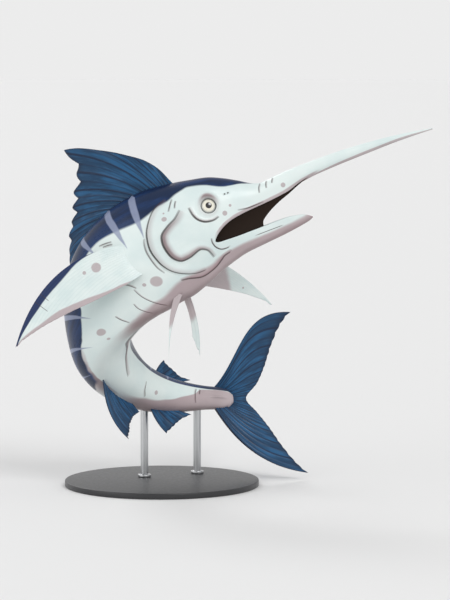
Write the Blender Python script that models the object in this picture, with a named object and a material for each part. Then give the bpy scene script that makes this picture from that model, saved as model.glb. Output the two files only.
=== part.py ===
"""A life-size display model of a leaping blue marlin, a billfish, arched on a plain stand.

Run it with blender --background --python part.py, or from Blender's text editor.
Metres, +Z up. The origin is the centre of the stand base's underside.

The fish is described straight. A station runs from 0 at the tip of the closed lower jaw to 1
at the fork of the tail, with the bill at negative stations. A side offset (right positive) and
a height (back positive) then give any point, all as fractions of the fork length. place()
carries such a point to where the arched, rolling body has it.
"""

import math

import bmesh
import bpy
import numpy as np

# Driving sizes: metres, or fractions of the fork length where a name says straight
FORK_LENGTH = 2.45
GAP = 0.0003
PART_GAP = 0.0008
STRAIGHT_GAP = GAP / FORK_LENGTH
STRAIGHT_PART_GAP = PART_GAP / FORK_LENGTH
ROUND_SIDES = 32
SECTION_POWER = 2.1

# Where the body is parted, and where it starts and ends
BILL_TIP = -0.298
BILL_ROOT = 0.0
MOUTH_CORNER = 0.194
COLLAR = 0.318
WAIST = 0.49
VENT = 0.70
TAIL_END = 0.968

# How the body is carried: the jaw tip's place, and the lean of its upright plane
JAW_TIP_PLACE = (0.6815, -0.335, 1.585)
LEAN = math.radians(5)

# Station, heading in the upright plane, turn away from that plane, and roll of the back from
# the outside of the bend towards the far side, all in degrees
POSE = (
    (0.22, 202, -1, -3), (0.30, 207, 9, 1), (0.38, 222, 24, 15), (0.46, 242, 25, 33),
    (0.54, 262, 27, 60), (0.62, 293, 32, 104), (0.70, 319, 35, 127), (0.78, 341, 29, 141),
    (0.88, 357, 22, 147), (1.00, 358, 24, 150),
)

# Outlines of the straight fish: station, then height above the centre line or half the width
BACK = (
    (-0.298, -0.0038), (-0.25, 0.0062), (-0.207, 0.0132), (-0.1565, 0.0195), (-0.104, 0.0240),
    (-0.04, 0.0266), (0.0, 0.0270), (0.04, 0.0258), (0.069, 0.0240), (0.085, 0.0290),
    (0.110, 0.0450), (0.135, 0.0600), (0.167, 0.0750), (0.205, 0.0840), (0.25, 0.0935),
    (0.30, 0.1020), (0.36, 0.1045), (0.43, 0.1030), (0.50, 0.0980), (0.58, 0.0870),
    (0.66, 0.0690), (0.74, 0.0520), (0.82, 0.0400), (0.90, 0.0280), (0.955, 0.0230), (0.968, 0.0120),
)
BELLY = (
    (-0.298, -0.0064), (-0.25, -0.0038), (-0.207, -0.0023), (-0.104, -0.0020), (-0.05, -0.0030),
    (0.0, -0.0095), (0.03, -0.0270), (0.075, -0.0490), (0.134, -0.0840), (0.194, -0.1090),
    (0.25, -0.1280), (0.30, -0.1370), (0.36, -0.1370), (0.43, -0.1290), (0.50, -0.1140),
    (0.58, -0.0930), (0.66, -0.0700), (0.74, -0.0510), (0.82, -0.0385), (0.90, -0.0270),
    (0.955, -0.0225), (0.968, -0.0120),
)
MIDDLE = (
    (-0.298, -0.0051), (-0.207, 0.0055), (-0.104, 0.0110), (0.0, 0.0085), (0.075, 0.0020),
    (0.134, -0.0030), (0.194, -0.0080), (0.30, -0.0120), (0.50, -0.0050), (0.968, 0.0),
)
HALF_WIDTH = (
    (-0.298, 0.0012), (-0.25, 0.0048), (-0.207, 0.0072), (-0.104, 0.0122), (-0.04, 0.0150),
    (0.0, 0.0172), (0.03, 0.0195), (0.075, 0.0240), (0.12, 0.0335), (0.16, 0.0430),
    (0.196, 0.0505), (0.25, 0.0605), (0.30, 0.0670), (0.36, 0.0700), (0.42, 0.0710),
    (0.50, 0.0690), (0.58, 0.0655), (0.66, 0.0575), (0.74, 0.0465), (0.82, 0.0335),
    (0.90, 0.0205), (0.955, 0.0145), (0.968, 0.0080),
)

# The open mouth: the upper jaw's edge, and the lower jaw's top, underside and half-width
PALATE = (
    (-0.05, -0.0020), (0.0, -0.0080), (0.029, -0.0139), (0.073, -0.0173), (0.116, -0.0190),
    (0.149, -0.0224), (0.173, -0.0296), (0.188, -0.0385), (0.196, -0.0460),
)
JAW_TOP = (
    (-0.004, -0.0795), (0.006, -0.0720), (0.020, -0.0665), (0.049, -0.0615), (0.10, -0.0600),
    (0.153, -0.0588), (0.1935, -0.0565),
)
JAW_UNDERSIDE = (
    (-0.004, -0.0820), (0.006, -0.0855), (0.028, -0.0890), (0.061, -0.0925), (0.104, -0.0955),
    (0.146, -0.0985), (0.1935, -0.1088),
)
JAW_HALF_WIDTH = (
    (-0.004, 0.0020), (0.006, 0.0075), (0.028, 0.0125), (0.08, 0.0200), (0.13, 0.0300),
    (0.1935, 0.0452),
)
JAW_REAR_GAP = 0.0005

# A fin's membrane against its rays, in thickness
MEMBRANE_SHARE = 0.55

# The membranes, counted in columns, where the long first dorsal fin is parted as the body bends
DORSAL_CUTS = (19, 31, 41)

# Size of each lobe of the tail against the mean
UPPER_LOBE = 1.13
LOWER_LOBE = 0.90

# Eyes, in metres except the station and height
EYE_STATION = 0.186
EYE_HEIGHT = 0.0215
EYE_RADIUS = 0.040
EYE_DEPTH = 0.024
EYE_PROUD = 0.005

# Display stand, in metres except the stations that the rods hold
BASE_RADIUS = 0.50
BASE_THICKNESS = 0.030
ROD_RADIUS = 0.020
ROD_STATIONS = {"stand_rod_front": 0.762, "stand_rod_rear": 0.888}

# Colours and finish of the separate pieces
SKIN = ((0.70, 0.79, 0.78), 0.35, 0.0)
FIN = ((0.03, 0.10, 0.20), 0.40, 0.0)
PALE_FIN = ((0.55, 0.62, 0.66), 0.40, 0.0)
EYE = ((0.85, 0.83, 0.72), 0.10, 0.0)
STAND = ((0.02, 0.02, 0.022), 0.35, 0.0)
STEEL = ((0.55, 0.56, 0.57), 0.30, 1.0)


def smooth(points):
    """A curve through (x, y) points that doesn't overshoot them."""
    x, y = np.array(points, float).T
    step = np.diff(x)
    rise = np.diff(y) / step
    slope = np.zeros_like(y)
    slope[0], slope[-1] = rise[0], rise[-1]
    near, far = 2 * step[1:] + step[:-1], step[1:] + 2 * step[:-1]
    for i in range(1, len(y) - 1):
        if rise[i - 1] * rise[i] > 0:
            slope[i] = (near[i - 1] + far[i - 1]) / (near[i - 1] / rise[i - 1] + far[i - 1] / rise[i])

    def curve(at):
        at = np.clip(np.asarray(at, float), x[0], x[-1])
        i = np.clip(np.searchsorted(x, at, side="right") - 1, 0, len(step) - 1)
        u = (at - x[i]) / step[i]
        start = y[i] * (1 + 2 * u) * (1 - u) ** 2 + step[i] * slope[i] * u * (1 - u) ** 2
        end = y[i + 1] * u * u * (3 - 2 * u) - step[i] * slope[i + 1] * u * u * (1 - u)
        return start + end

    return curve


back = smooth(BACK)
belly = smooth(BELLY)
middle = smooth(MIDDLE)
half_width = smooth(HALF_WIDTH)
palate = smooth(PALATE)
jaw_top = smooth(JAW_TOP)
jaw_underside = smooth(JAW_UNDERSIDE)
jaw_half_width = smooth(JAW_HALF_WIDTH)


def leaned(vectors):
    """Upright-plane coordinates turned about X by the lean."""
    x, y, z = np.moveaxis(vectors, -1, 0)
    forward = y * math.cos(LEAN) + z * math.sin(LEAN)
    up = z * math.cos(LEAN) - y * math.sin(LEAN)
    return np.stack([x, forward, up], -1)


def body_line():
    """Stations along the centre line, its points, and the rearward, upward and right axes there."""
    stations = np.arange(BILL_TIP - 0.02, 1.1, 0.002)
    heading, tilt, roll = (
        np.radians(smooth([(row[0], row[i]) for row in POSE])(stations)) for i in (1, 2, 3)
    )
    flat = np.zeros_like(heading)
    rear = np.stack([np.cos(tilt) * np.cos(heading), np.sin(tilt), np.cos(tilt) * np.sin(heading)], 1)
    outward = np.stack([np.sin(heading), flat, -np.cos(heading)], 1)
    away = np.stack([-np.sin(tilt) * np.cos(heading), np.cos(tilt), -np.sin(tilt) * np.sin(heading)], 1)
    up = np.cos(roll)[:, None] * outward + np.sin(roll)[:, None] * away
    steps = (rear[1:] + rear[:-1]) / 2 * np.diff(stations)[:, None]
    line = np.concatenate([np.zeros((1, 3)), np.cumsum(steps, 0)])
    line -= line[np.argmin(abs(stations))]
    rear, up, line = leaned(rear), leaned(up), leaned(line)
    return stations, np.array(JAW_TIP_PLACE) + FORK_LENGTH * line, rear, up, np.cross(up, rear)


STATIONS, LINE, REAR, UP, RIGHT = body_line()


def along_body(field, station):
    return np.stack([np.interp(station, STATIONS, field[:, i]) for i in range(3)], -1)


def place(points):
    """World points of straight (station, side, height) rows."""
    station, side, height = np.moveaxis(np.asarray(points, float), -1, 0)
    right = along_body(RIGHT, station) * side[..., None]
    up = along_body(UP, station) * height[..., None]
    return along_body(LINE, station) + FORK_LENGTH * (right + up)


def skin_point(station, angle, grow=0.0):
    """Straight point on the body's skin at an angle round it, from the right side over the back."""
    station, angle = np.broadcast_arrays(np.asarray(station, float), angle)
    across, upward = np.cos(angle), np.sin(angle)
    power = 2 / SECTION_POWER
    reach = np.where(upward > 0, back(station) - middle(station), middle(station) - belly(station))
    side = (half_width(station) + grow) * np.sign(across) * abs(across) ** power
    height = middle(station) + (reach + grow) * np.sign(upward) * abs(upward) ** power
    return np.stack([station, side, height], -1)


def skin_side(station, height):
    """How far out the skin is at a height."""
    above = height - middle(station)
    reach = np.where(above > 0, back(station) - middle(station), middle(station) - belly(station))
    inside = np.clip(1 - abs(above / reach) ** SECTION_POWER, 0, 1)
    return half_width(station) * inside ** (1 / SECTION_POWER)


def collection(name, hidden=False):
    group = bpy.data.collections.new(name)
    group.hide_render = hidden
    bpy.context.scene.collection.children.link(group)
    return group


def material(name, finish):
    colour, roughness, metallic = finish
    surface = bpy.data.materials.new(name)
    surface.use_nodes = True
    shader = surface.node_tree.nodes["Principled BSDF"]
    shader.inputs["Base Color"].default_value = (*colour, 1)
    shader.inputs["Roughness"].default_value = roughness
    shader.inputs["Metallic"].default_value = metallic
    return surface


def own(thing, finish):
    """Puts an object in the model, or among the cutters when it has no finish."""
    for group in list(thing.users_collection):
        group.objects.unlink(thing)
    if finish is None:
        CUTTERS.objects.link(thing)
        thing.hide_render = True
        thing.display_type = "WIRE"
    else:
        MODEL.objects.link(thing)
        thing.data.materials.append(material(thing.name, finish))
    return thing


def solid(name, points, faces, finish=None):
    """A closed mesh object whose faces point out."""
    mesh = bpy.data.meshes.new(name)
    mesh.from_pydata(np.asarray(points, float).tolist(), [], faces)
    shape = bmesh.new()
    shape.from_mesh(mesh)
    bmesh.ops.recalc_face_normals(shape, faces=shape.faces[:])
    shape.to_mesh(mesh)
    shape.free()
    mesh.shade_smooth()
    mesh.set_sharp_from_angle(angle=math.radians(40))
    return own(bpy.data.objects.new(name, mesh), finish)


def loft(name, rings, finish=None):
    """Triangles over rings of equal count in world space, with each end closed by a fan."""
    rings = np.asarray(rings, float)
    rows, count = rings.shape[:2]
    faces = []
    for row in range(rows - 1):
        for i in range(count):
            a, b = row * count + i, row * count + (i + 1) % count
            faces += [(a, b, b + count), (a, b + count, a + count)]
    for row, hub in ((0, rows * count), (rows - 1, rows * count + 1)):
        faces += [(row * count + i, row * count + (i + 1) % count, hub) for i in range(count)]
    points = np.concatenate([rings.reshape(-1, 3), rings[[0, -1]].mean(axis=1)])
    return solid(name, points, faces, finish)


def tube(name, path, radii, sides=8):
    """A round bar of changing radius along world points, to be joined to a larger piece."""
    path = np.asarray(path, float)
    tangents = np.gradient(path, axis=0)
    tangents /= np.linalg.norm(tangents, axis=1)[:, None]
    first = np.cross(tangents[0], UP[0] + 0.1 * REAR[0])
    rings = []
    for point, tangent, radius in zip(path, tangents, radii):
        first = first - tangent * (first @ tangent)
        first /= np.linalg.norm(first)
        second = np.cross(tangent, first)
        angles = np.arange(sides) * 2 * math.pi / sides
        rings.append(point + radius * (np.outer(np.cos(angles), first) + np.outer(np.sin(angles), second)))
    return loft(name, rings)


def apply_boolean(target, other, operation="DIFFERENCE", solver="EXACT"):
    step = target.modifiers.new(other.name, "BOOLEAN")
    step.operation = operation
    step.solver = solver
    step.object = other


def ring_angles(count=ROUND_SIDES):
    return np.arange(count) * 2 * math.pi / count


def body_length(start, end, rows):
    return np.linspace(start, end, rows)


# Stations of the rings of each length of the body, shared by the pieces and by the cutter
HEAD_ROWS = body_length(BILL_ROOT, COLLAR, 16)
FRONT_ROWS = body_length(COLLAR, WAIST, 9)
REAR_ROWS = body_length(WAIST, VENT, 11)
STOCK_ROWS = np.append(body_length(VENT, 0.955, 12), (0.962, TAIL_END))


def trimmed(rows):
    """The same rings, with half the parting gap taken off each end."""
    rows = rows.copy()
    rows[0] += STRAIGHT_PART_GAP / 2
    rows[-1] -= STRAIGHT_PART_GAP / 2
    return rows


def body_piece(name, rows, finish, grow=0.0, count=ROUND_SIDES):
    return loft(name, [place(skin_point(row, ring_angles(count), grow)) for row in rows], finish)


def body_cutter():
    """The whole body grown by the gap, to cut the root of whatever stands on it."""
    rows = np.concatenate([HEAD_ROWS, FRONT_ROWS[1:], REAR_ROWS[1:], STOCK_ROWS[1:]])
    return body_piece("body_cutter", rows, None, STRAIGHT_GAP)


def make_bill():
    body_piece("bill", trimmed(body_length(BILL_TIP, BILL_ROOT, 14)), SKIN, count=20)


def mouth_cutters():
    """The open wedge under the upper jaw, and the hollow of the palate and throat."""
    rows = np.append(np.linspace(-0.02, 0.15, 8), (0.162, 0.173, 0.181, 0.188, MOUTH_CORNER))
    wide, low = 0.10, -0.22
    wedge = [
        [(row, wide, palate(row)), (row, -wide, palate(row)), (row, -wide, low), (row, wide, low)]
        for row in rows
    ]
    # Station, half-width, top and floor of the hollow
    hollow = ((0.030, 0.006, -0.009, -0.030), (0.07, 0.012, -0.008, -0.050), (0.12, 0.020, -0.006, -0.066),
              (0.17, 0.030, -0.012, -0.078), (0.20, 0.032, -0.030, -0.084), (0.225, 0.024, -0.042, -0.078),
              (0.240, 0.010, -0.052, -0.068))
    rings = []
    for row, wide, top, floor in hollow:
        angles = ring_angles(16)
        side = wide * np.cos(angles)
        height = (top + floor) / 2 + (top - floor) / 2 * np.sin(angles)
        rings.append(np.stack([np.full(16, row), side, height], -1))
    return loft("mouth_wedge", place(wedge)), loft("mouth_hollow", place(rings))


def lip_bar(side, name):
    """The bar of bone and skin along the upper jaw's edge."""
    rows = np.append(np.linspace(0.006, 0.15, 9), (0.165, 0.177, 0.186, 0.190))
    height = palate(rows) + 0.0030
    out = skin_side(rows, height) - 0.0012
    radii = FORK_LENGTH * smooth(((0.006, 0.0010), (0.06, 0.0024), (0.15, 0.0034), (0.190, 0.0022)))(rows)
    return tube(name, place(np.stack([rows, side * out, height], -1)), radii)


def eye_axes(side):
    """World centre of an eye, and its outward, upward and rearward axes."""
    out = skin_side(EYE_STATION, EYE_HEIGHT)
    lean = (skin_side(EYE_STATION, EYE_HEIGHT - 0.01) - skin_side(EYE_STATION, EYE_HEIGHT + 0.01)) / 0.02
    flare = (skin_side(EYE_STATION + 0.01, EYE_HEIGHT) - skin_side(EYE_STATION - 0.01, EYE_HEIGHT)) / 0.02
    rear, up, right = (along_body(field, EYE_STATION) for field in (REAR, UP, RIGHT))
    outward = side * right + lean * up - flare * rear
    outward /= np.linalg.norm(outward)
    upward = up - outward * (up @ outward)
    upward /= np.linalg.norm(upward)
    skin = place((EYE_STATION, side * out, EYE_HEIGHT))
    return skin, outward, upward, np.cross(outward, upward)


def eyeball(name, side, grow, finish):
    skin, outward, upward, rearward = eye_axes(side)
    centre = skin + outward * (EYE_PROUD - EYE_DEPTH)
    shape = bmesh.new()
    bmesh.ops.create_uvsphere(shape, u_segments=24, v_segments=12, radius=1)
    unit = np.array([vertex.co for vertex in shape.verts])
    scaled = unit * (EYE_RADIUS + grow, EYE_RADIUS + grow, EYE_DEPTH + grow)
    points = centre + scaled @ np.array([rearward, upward, outward])
    faces = [[vertex.index for vertex in face.verts] for face in shape.faces]
    shape.free()
    return solid(name, points, faces, finish)


def eye_rim(side, name, start, end, radius, reach, sink):
    """A fold of skin round part of the eye, as an arc in degrees from the front over the top."""
    skin, outward, upward, rearward = eye_axes(side)
    forward = -rearward if rearward @ along_body(REAR, EYE_STATION) > 0 else rearward
    path, radii = [], []
    for part in np.linspace(0, 1, 11):
        angle = math.radians(start + (end - start) * part)
        across = forward * math.cos(angle) + upward * math.sin(angle)
        path.append(skin + reach * across - sink * outward)
        radii.append(radius * (0.35 + 0.65 * math.sin(math.pi * part)))
    return tube(name, path, radii)


def nostril(side, name, station):
    height = 0.0300
    centre = place((station, side * skin_side(station, height), height))
    bpy.ops.mesh.primitive_uv_sphere_add(segments=10, ring_count=6, radius=0.004, location=centre)
    pit = bpy.context.object
    pit.name = name
    return own(pit, None)


def make_head():
    head = body_piece("head", trimmed(HEAD_ROWS), SKIN)
    for side, word in ((1, "right"), (-1, "left")):
        apply_boolean(head, lip_bar(side, "lip_" + word), "UNION")
        apply_boolean(head, eye_rim(side, "brow_" + word, 15, 165, 0.012, 0.047, 0.003), "UNION")
        apply_boolean(head, eye_rim(side, "lower_lid_" + word, 200, 340, 0.007, 0.046, 0.002), "UNION")
    wedge, hollow = mouth_cutters()
    cutters = [wedge, hollow]
    for side, word in ((1, "right"), (-1, "left")):
        cutters.append(eyeball("socket_" + word, side, GAP, None))
        cutters.append(nostril(side, "front_nostril_" + word, 0.140))
        cutters.append(nostril(side, "rear_nostril_" + word, 0.147))
    for cutter in cutters:
        apply_boolean(head, cutter, solver="MANIFOLD")


def make_lower_jaw():
    """A trough from the pointed tip to the mouth corner, with rounded lips and a low tongue."""
    rings = []
    for row in np.append(np.linspace(-0.004, 0.020, 4), np.linspace(0.040, MOUTH_CORNER - JAW_REAR_GAP, 11)):
        top, under, wide = jaw_top(row), jaw_underside(row), jaw_half_width(row)
        angles = np.linspace(0, math.pi, 15)
        lip = 1 + 0.05 * np.exp(-((np.minimum(angles, math.pi - angles) / 0.35) ** 2))
        outer_side = wide * np.cos(angles) * lip
        outer_height = top - (top - under) * np.sin(angles) ** 0.9
        deep = 0.50 * (top - under) * min(1, max(0, (row - 0.004) / 0.05))
        inner = ((-0.74, 0.0), (-0.60, 0.9), (-0.30, 1.0), (0, 0.72), (0.30, 1.0), (0.60, 0.9), (0.74, 0.0))
        inner_side = [wide * across for across, _ in inner]
        inner_height = [top - deep * down for _, down in inner]
        side = np.concatenate([outer_side, inner_side])
        height = np.concatenate([outer_height, inner_height])
        rings.append(np.stack([np.full(len(side), row), side, height], -1))
    loft("lower_jaw", place(rings), SKIN)


def make_gill_cover(name, side):
    """A thin plate on the cheek, raised most along its free rear edge."""
    rear_edge = smooth(((0, 0.268), (0.2, 0.293), (0.45, 0.311), (0.7, 0.303), (0.88, 0.280), (1, 0.250)))
    front_edge = smooth(((0, 0.240), (0.3, 0.224), (0.6, 0.215), (0.85, 0.208), (1, 0.206)))
    angle = smooth(((0, 26), (1, -68)))
    sheet = []
    for u in np.linspace(0, 1, 11):
        column = []
        for v in np.linspace(0, 1, 13):
            station = front_edge(v) + (rear_edge(v) - front_edge(v)) * u
            swell = 0.0010 + 0.0028 * u ** 1.5
            rim = min(1, 0.35 + 6 * min(v, 1 - v))
            around = math.radians(float(angle(v)))
            column.append((station, around if side > 0 else math.pi - around, swell * rim))
        sheet.append(column)
    station, around, raised = np.moveaxis(np.array(sheet), -1, 0)
    outer = place(skin_point(station, around, raised))
    inner = place(skin_point(station, around, -0.004))
    two_sided(name, outer, inner, SKIN)


def two_sided(name, near, far, finish):
    """A sheet with the same triangles on both faces, closed round its border, cut by the body."""
    columns, rows = near.shape[:2]
    count = columns * rows
    faces = []
    for column in range(columns - 1):
        for row in range(rows - 1):
            a = column * rows + row
            b, c, d = a + rows, a + rows + 1, a + 1
            faces += [(a, b, c), (a, c, d), (a + count, c + count, b + count), (a + count, d + count, c + count)]
    border = [column * rows for column in range(columns)]
    border += [(columns - 1) * rows + row for row in range(1, rows)]
    border += [column * rows + rows - 1 for column in range(columns - 2, -1, -1)]
    border += list(range(rows - 2, 0, -1))
    for here, there in zip(border, border[1:] + border[:1]):
        faces += [(there, here, here + count), (there, here + count, there + count)]
    points = np.concatenate([near.reshape(-1, 3), far.reshape(-1, 3)])
    sheet = solid(name, points, faces, finish)
    apply_boolean(sheet, BODY_CUTTER)
    return sheet


def fin_sheet(outline, rays, rows, root, edge, scallop, skew=None):
    """Points along a fin's rays in the fin's own plane, with half the thickness at each.

    An outline row holds u, the two coordinates where the ray at u starts, the two where it
    ends, and how far it bows aside. Every other column is a ray, which stands proud of the
    membrane between and reaches past it by the scallop. skew over 1 moves the bow outwards."""
    curves = [smooth([(row[0], row[i]) for row in outline]) for i in range(1, 6)]
    sheet = np.zeros((2 * rays - 1, rows, 3))
    for column in range(2 * rays - 1):
        u = column / (2 * rays - 2)
        start_a, start_b, end_a, end_b, bow = (curve(u) for curve in curves)
        on_ray = column % 2 == 0
        v = np.linspace(0, 1 if on_ray else 1 - scallop, rows)
        run_a, run_b = end_a - start_a, end_b - start_b
        length = math.hypot(run_a, run_b)
        swing = v ** (skew(u) if skew else 1)
        aside = bow * 4 * swing * (1 - swing) / length
        sheet[column, :, 0] = start_a + v * run_a - aside * run_b
        sheet[column, :, 1] = start_b + v * run_b + aside * run_a
        sheet[column, :, 2] = (root + (edge - root) * v ** 0.6) / 2 * (1 if on_ray else MEMBRANE_SHARE)
    return sheet


def parted(sheet, cuts):
    """The lengths of a fin's sheet, with each cut column drawn in by half the parting gap."""
    ends = (0, *cuts, len(sheet) - 1)
    lengths = []
    for first, last in zip(ends, ends[1:]):
        length = sheet[first:last + 1].copy()
        for column, edge, inner in ((first, 0, 1), (last, -1, -2)):
            if column in cuts:
                step = length[inner, :, :2] - length[edge, :, :2]
                step /= np.linalg.norm(step, axis=1)[:, None]
                length[edge, :, :2] += step * STRAIGHT_PART_GAP / 2
        lengths.append(length)
    return lengths


def make_body_fin(name, sheet, finish, above):
    """A fin in the plane of the back and belly, bent and rolled with the body."""
    station, height, half = np.moveaxis(sheet, -1, 0)
    edge = back(station) if above else belly(station)
    height = edge + (height if above else -height)
    near = place(np.stack([station, half / FORK_LENGTH, height], -1))
    far = place(np.stack([station, -half / FORK_LENGTH, height], -1))
    two_sided(name, near, far, finish)


def make_dorsal_fins():
    # u, start station, start height, tip station, tip height over the back, bow
    first = (
        (0.00, 0.231, -0.008, 0.237, 0.006, 0.0), (0.04, 0.238, -0.008, 0.247, 0.033, 0.0),
        (0.08, 0.246, -0.008, 0.264, 0.058, 0.001), (0.12, 0.254, -0.008, 0.291, 0.082, 0.002),
        (0.16, 0.262, -0.008, 0.323, 0.114, 0.003), (0.20, 0.270, -0.008, 0.360, 0.158, 0.004),
        (0.25, 0.284, -0.008, 0.371, 0.121, 0.003), (0.31, 0.302, -0.008, 0.391, 0.090, 0.001),
        (0.38, 0.328, -0.008, 0.413, 0.064, 0.0), (0.46, 0.360, -0.008, 0.441, 0.045, 0.0),
        (0.55, 0.398, -0.008, 0.477, 0.030, 0.0), (0.68, 0.460, -0.008, 0.535, 0.019, 0.0),
        (0.84, 0.548, -0.008, 0.612, 0.014, 0.0), (1.00, 0.640, -0.008, 0.690, 0.009, 0.0),
    )
    sheet = fin_sheet(first, 27, 7, 0.0075, 0.0014, 0.07)
    for number, length in enumerate(parted(sheet, DORSAL_CUTS), 1):
        make_body_fin(f"dorsal_fin_first_{number}", length, FIN, above=True)
    second = (
        (0.0, 0.788, -0.006, 0.820, 0.048, 0.004), (0.3, 0.799, -0.006, 0.836, 0.033, 0.002),
        (0.7, 0.818, -0.006, 0.858, 0.018, 0.0), (1.0, 0.836, -0.006, 0.880, 0.012, 0.0),
    )
    make_body_fin("dorsal_fin_second", fin_sheet(second, 7, 6, 0.006, 0.0014, 0.08), FIN, above=True)


def make_anal_fins():
    first = (
        (0.00, 0.632, -0.008, 0.728, 0.092, 0.016), (0.20, 0.645, -0.008, 0.728, 0.070, 0.010),
        (0.40, 0.661, -0.008, 0.730, 0.050, 0.005), (0.65, 0.685, -0.008, 0.737, 0.030, 0.0),
        (1.00, 0.722, -0.008, 0.750, 0.015, 0.0),
    )
    sheet = fin_sheet(first, 10, 8, 0.0075, 0.0014, 0.07)
    make_body_fin("anal_fin_first", sheet, FIN, above=False)
    second = (
        (0.0, 0.776, -0.006, 0.810, 0.056, 0.004), (0.3, 0.789, -0.006, 0.826, 0.038, 0.002),
        (0.7, 0.810, -0.006, 0.846, 0.020, 0.0), (1.0, 0.830, -0.006, 0.868, 0.012, 0.0),
    )
    make_body_fin("anal_fin_second", fin_sheet(second, 7, 6, 0.006, 0.0014, 0.08), FIN, above=False)


def make_free_fin(name, sheet, root, span, chord, finish, bend=None):
    """A flat fin held out from a world point: span points to its tip, chord to its front edge.

    bend gives the angle in degrees by which the fin still leans out at each distance."""
    a, b, half = np.moveaxis(sheet, -1, 0)
    span = span / np.linalg.norm(span)
    chord = chord - span * (chord @ span)
    chord = chord / np.linalg.norm(chord)
    normal = np.cross(span, chord)
    reach = np.arange(-0.05, 0.45, 0.005)
    angle = np.radians(bend(reach)) if bend else np.zeros_like(reach)
    forward = np.concatenate([[0], np.cumsum(np.cos(angle)[:-1] * 0.005)])
    out = np.concatenate([[0], np.cumsum(np.sin(angle)[:-1] * 0.005)])
    start = np.argmin(abs(reach))
    along = np.interp(a, reach, forward - forward[start])[..., None] * span
    aside = np.interp(a, reach, out - out[start])[..., None] * normal
    lean = np.interp(a, reach, angle)[..., None]
    across = np.cos(lean) * normal - np.sin(lean) * span
    flat = root + FORK_LENGTH * (along + aside + b[..., None] * chord)
    two_sided(name, flat + half[..., None] * across, flat - half[..., None] * across, finish)


# u, start along the fin, start across it, tip along, tip across, bow towards the front edge
PECTORAL = (
    (0.00, -0.022, 0.026, 0.300, -0.011, 0.054), (0.15, -0.022, 0.020, 0.284, -0.014, 0.042),
    (0.35, -0.022, 0.010, 0.238, -0.015, 0.026), (0.60, -0.022, -0.006, 0.168, -0.019, 0.011),
    (0.82, -0.022, -0.022, 0.104, -0.028, 0.003), (1.00, -0.022, -0.034, 0.040, -0.036, 0.0),
)


def make_pectoral_fins():
    root_station, root_height = 0.350, -0.022
    rear, up, right = (along_body(field, root_station) for field in (REAR, UP, RIGHT))
    side = skin_side(root_station, root_height)
    sheet = fin_sheet(PECTORAL, 10, 11, 0.018, 0.0016, 0.04)
    # The right one sweeps back along the flank, leaning out less and less
    root = place((root_station, side, root_height))
    lean = smooth(((-0.05, -52), (0.0, -46), (0.05, -22), (0.12, -14), (0.45, -10)))
    make_free_fin("pectoral_fin_right", sheet, root, rear - 0.03 * up, up, PALE_FIN, lean)
    # The left one is held forward and down, and bows less
    bowed_less = [(*row[:5], 0.5 * row[5]) for row in PECTORAL]
    sheet = fin_sheet(bowed_less, 10, 11, 0.018, 0.0016, 0.04)
    root = place((root_station, -side, root_height))
    span = -0.27 * rear - 0.60 * up - 0.75 * right
    make_free_fin("pectoral_fin_left", sheet, root, span, -rear - 0.85 * right, PALE_FIN)


def make_pelvic_fins():
    station = 0.325
    rear, up, right = (along_body(field, station) for field in (REAR, UP, RIGHT))
    blade = (
        (0.0, -0.014, 0.0075, 0.123, -0.002, 0.008), (0.5, -0.014, 0.0, 0.117, -0.0035, 0.0065),
        (1.0, -0.014, -0.0075, 0.100, -0.0065, 0.005),
    )
    for word, side in (("right", 1), ("left", -1)):
        sheet = fin_sheet([(*row[:5], -side * row[5]) for row in blade], 3, 10, 0.009, 0.0016, 0.03)
        height = belly(station) + 0.004
        root = place((station, side * 0.032, height))
        sweep, splay = (0.62, 0.05) if side > 0 else (0.30, 0.25)
        span = -0.80 * up + sweep * rear + side * splay * right
        make_free_fin("pelvic_fin_" + word, sheet, root, span, -rear, PALE_FIN)


def make_tail_fin():
    """The crescent tail: rays fan from the stock's end to the two lobes."""
    # u, start behind and above the stock's end, tip behind and above it, bow
    lobe = (
        (0.00, -0.046, 0.018, 0.162, 0.195, 0.038), (0.10, -0.040, 0.017, 0.136, 0.168, 0.030),
        (0.25, -0.032, 0.015, 0.108, 0.124, 0.017), (0.45, -0.024, 0.012, 0.085, 0.078, 0.006),
        (0.70, -0.016, 0.008, 0.060, 0.036, 0.0), (1.00, -0.012, 0.0, 0.034, 0.0, 0.0),
    )
    upper = [(u / 2, a, b, UPPER_LOBE * end_a, UPPER_LOBE * end_b, bow) for u, a, b, end_a, end_b, bow in lobe]
    lower = [
        (1 - u / 2, a, -b, LOWER_LOBE * end_a, -LOWER_LOBE * end_b, -bow)
        for u, a, b, end_a, end_b, bow in lobe[:-1]
    ]
    upper[-1] = (0.5, *lobe[-1][1:])
    skew = smooth(((0, 1.9), (0.5, 1.4), (1, 1.05)))
    sheet = fin_sheet(upper + lower[::-1], 19, 8, 0.024, 0.0018, 0.05, skew)
    root = place((TAIL_END, 0, 0))
    rear, up = (along_body(field, TAIL_END) for field in (REAR, UP))
    make_free_fin("tail_fin", sheet, root, rear, up, FIN)


def make_tail_stock():
    stock = body_piece("tail_stock", trimmed(STOCK_ROWS), SKIN)
    for side, word in ((1, "right"), (-1, "left")):
        for height, level in ((0.0065, "upper"), (-0.0065, "lower")):
            rows = np.linspace(0.905, 0.952, 9)
            out = skin_side(rows, height) - 0.0002
            radii = 0.0075 * np.sin(np.linspace(0.12, math.pi - 0.12, 9))
            path = place(np.stack([rows, side * out, np.full(9, height)], -1))
            apply_boolean(stock, tube(f"{level}_keel_{word}", path, radii), "UNION")


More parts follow.
